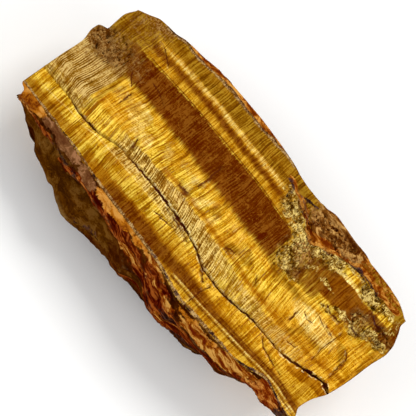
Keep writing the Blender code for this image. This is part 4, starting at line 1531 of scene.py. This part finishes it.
@dataclass
class TigersEye:
    """The whole stone: one closed mesh with its ground written on it."""

    form: Form = field(default_factory=Form)
    finish: StoneFinish = field(default_factory=StoneFinish)
    fine_slope: float = 0.4
    fine_groove: float = 0.24
    fine_step: float = 0.45
    fine_depth: float = 0.8

    def hollows(self, box: bmesh.types.BMesh) -> Array:
        """Returns how deep in a hollow each point is: 1 in a groove, -1 on a ridge, 0 where it is flat."""
        box.normal_update()
        found = []
        for vert in box.verts:
            around = [edge.other_vert(vert).co - vert.co for edge in vert.link_edges]
            found.append(sum(step.normalized().dot(vert.normal) for step in around) / len(around))
        raw = np.array(found)
        nearby = [[edge.other_vert(vert).index for edge in vert.link_edges] for vert in box.verts]
        soft = np.array([np.mean([raw[number] for number in numbers]) for numbers in nearby])
        return np.clip((0.6 * raw + 0.4 * soft) * 3.0, -1, 1)

    def finish_values(self, shares: dict[str, Array]) -> dict[str, Array]:
        """Returns roughness, silk, fibre and crumb weights, laid over one another as the zones are."""
        count = len(shares["gold"])
        values = {name: np.zeros(count) for name in ("gloss", "silk", "fibrous", "crumbly")}
        for zone in ZONES:
            share = shares[zone.name]
            own = {
                "gloss": zone.gloss,
                "silk": zone.silk,
                "fibrous": float(zone.grain in FIBROUS),
                "crumbly": float(zone.grain in CRUMBLY),
            }
            for name, value in own.items():
                values[name] = mix(values[name], np.full(count, value), share)
        return values

    def build(self) -> bpy.types.Object:
        """Returns the finished stone."""
        crisp = replace(
            self.form,
            crack_slope=self.fine_slope,
            crack_groove=self.fine_groove,
            crack_step=self.fine_step,
            crack_depth=self.fine_depth,
        )
        fine = FineStone(crisp)
        box = fine.unit_box()
        box.verts.index_update()
        at = fine.bend(np.array([vert.co[:] for vert in box.verts]))
        straight = fine.fibre(at)
        LOG.info("block bent to its outline: %d points", len(at.x))
        ground = Ground(fine, at, straight)
        shares = ground.work_out()
        cracks = ground.cracks()
        fine.add_face_relief(at, straight)
        fine.add_front_relief(at)
        fine.add_back_relief(at)
        fine.add_end_relief(at)
        fine.add_under_relief(at)
        middle = FineStone(self.form).middle()
        places = (np.stack([at.x, at.y, at.z], axis=-1) - middle) * MM
        for vert, place in zip(box.verts, places):
            vert.co = place
        bmesh.ops.recalc_face_normals(box, faces=box.faces)
        hollow = self.hollows(box)
        bmesh.ops.triangulate(box, faces=box.faces, quad_method="SHORT_EDGE")
        mesh = bpy.data.meshes.new("rough_stone")
        box.to_mesh(mesh)
        box.free()
        mesh.shade_smooth()
        attributes = shares | self.finish_values(shares) | cracks | {"hollow": hollow}
        for name, values in attributes.items():
            mesh.attributes.new(name, "FLOAT", "POINT").data.foreach_set("value", values.astype(np.float32))
        fibre = mesh.attributes.new("fibre", "FLOAT_VECTOR", "POINT")
        fibre.data.foreach_set("vector", straight.astype(np.float32).ravel())
        mesh.materials.append(self.finish.build())
        piece = bpy.data.objects.new("rough_stone", mesh)
        link(piece)
        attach(piece, "root")
        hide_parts(NODE)
        return piece


@dataclass
class Studio:
    """Plain floor, soft lights and the camera."""

    form: Form
    middle: Array
    tilt: float = 20.0
    roll: float = 50.0
    seen_width: float = 0.118
    distance: float = 0.95
    sensor: float = 36.0
    picture_shift: float = 10.5

    def directions(self) -> tuple[Vector, Vector, Vector]:
        """Returns the camera's right, up and back directions."""
        tilt, roll = math.radians(self.tilt), math.radians(self.roll)
        back = Vector((0, -math.sin(tilt), math.cos(tilt)))
        level_right = Vector((1, 0, 0))
        level_up = back.cross(level_right)
        right = level_right * math.cos(roll) + level_up * math.sin(roll)
        up = level_up * math.cos(roll) - level_right * math.sin(roll)
        return right, up, back

    def add_camera(self) -> None:
        """Adds the camera, looking down on the fibre face and a little at the front wall."""
        right, up, back = self.directions()
        tilt = math.radians(self.tilt)
        height = self.form.top_height
        across = (self.picture_shift - math.sin(tilt) * height) / math.cos(tilt)
        target = Vector((-self.middle[0], across - self.middle[1], height)) * MM
        camera = bpy.data.objects.new("camera", bpy.data.cameras.new("camera"))
        camera.data.sensor_width = self.sensor
        camera.data.lens = self.sensor * self.distance / self.seen_width
        turn = Matrix((right, up, back)).transposed().to_4x4()
        camera.matrix_world = Matrix.Translation(target + back * self.distance) @ turn
        link(camera)
        bpy.context.scene.camera = camera

    def add_light(self, name: str, place: Triple, size: float, power: float) -> None:
        """Adds a square soft light that faces the stone."""
        data = bpy.data.lights.new(name, "AREA")
        data.shape = "SQUARE"
        data.size = size
        data.energy = power
        light = bpy.data.objects.new(name, data)
        light.location = place
        light.rotation_euler = (-Vector(place)).to_track_quat("-Z", "Y").to_euler()
        link(light)

    def add_floor(self) -> None:
        """Adds the floor that the stone rests on."""
        plate = bmesh.new()
        bmesh.ops.create_grid(plate, x_segments=1, y_segments=1, size=3.0)
        mesh = bpy.data.meshes.new("studio_floor")
        plate.to_mesh(mesh)
        plate.free()
        mesh.materials.append(FloorFinish().build())
        floor = bpy.data.objects.new("studio_floor", mesh)
        link(floor)

    def build(self) -> None:
        """Adds everything round the stone."""
        self.add_floor()
        self.add_camera()
        self.add_light("key", (0.15, 1.10, 2.00), 1.1, 26.0)
        self.add_light("fill", (-1.40, -1.20, 1.60), 1.6, 14.0)
        self.add_light("side", (1.60, -0.20, 1.40), 1.2, 8.0)
        world = bpy.data.worlds.new("studio")
        world.use_nodes = True
        backdrop = world.node_tree.nodes["Background"]
        backdrop.inputs["Color"].default_value = paint("F4F6FA")
        backdrop.inputs["Strength"].default_value = 0.60
        bpy.context.scene.world = world
        bpy.context.scene.view_settings.view_transform = "Standard"


def main() -> None:
    """Builds the stone and its studio."""
    logging.basicConfig(level=logging.INFO, format="%(name)s: %(message)s")
    stone = TigersEye()
    piece = stone.build()
    LOG.info("%s: %d triangles", piece.name, len(piece.data.polygons))
    Studio(stone.form, FineStone(stone.form).middle()).build()
    LOG.info("studio ready")


if __name__ == "__main__":
    main()
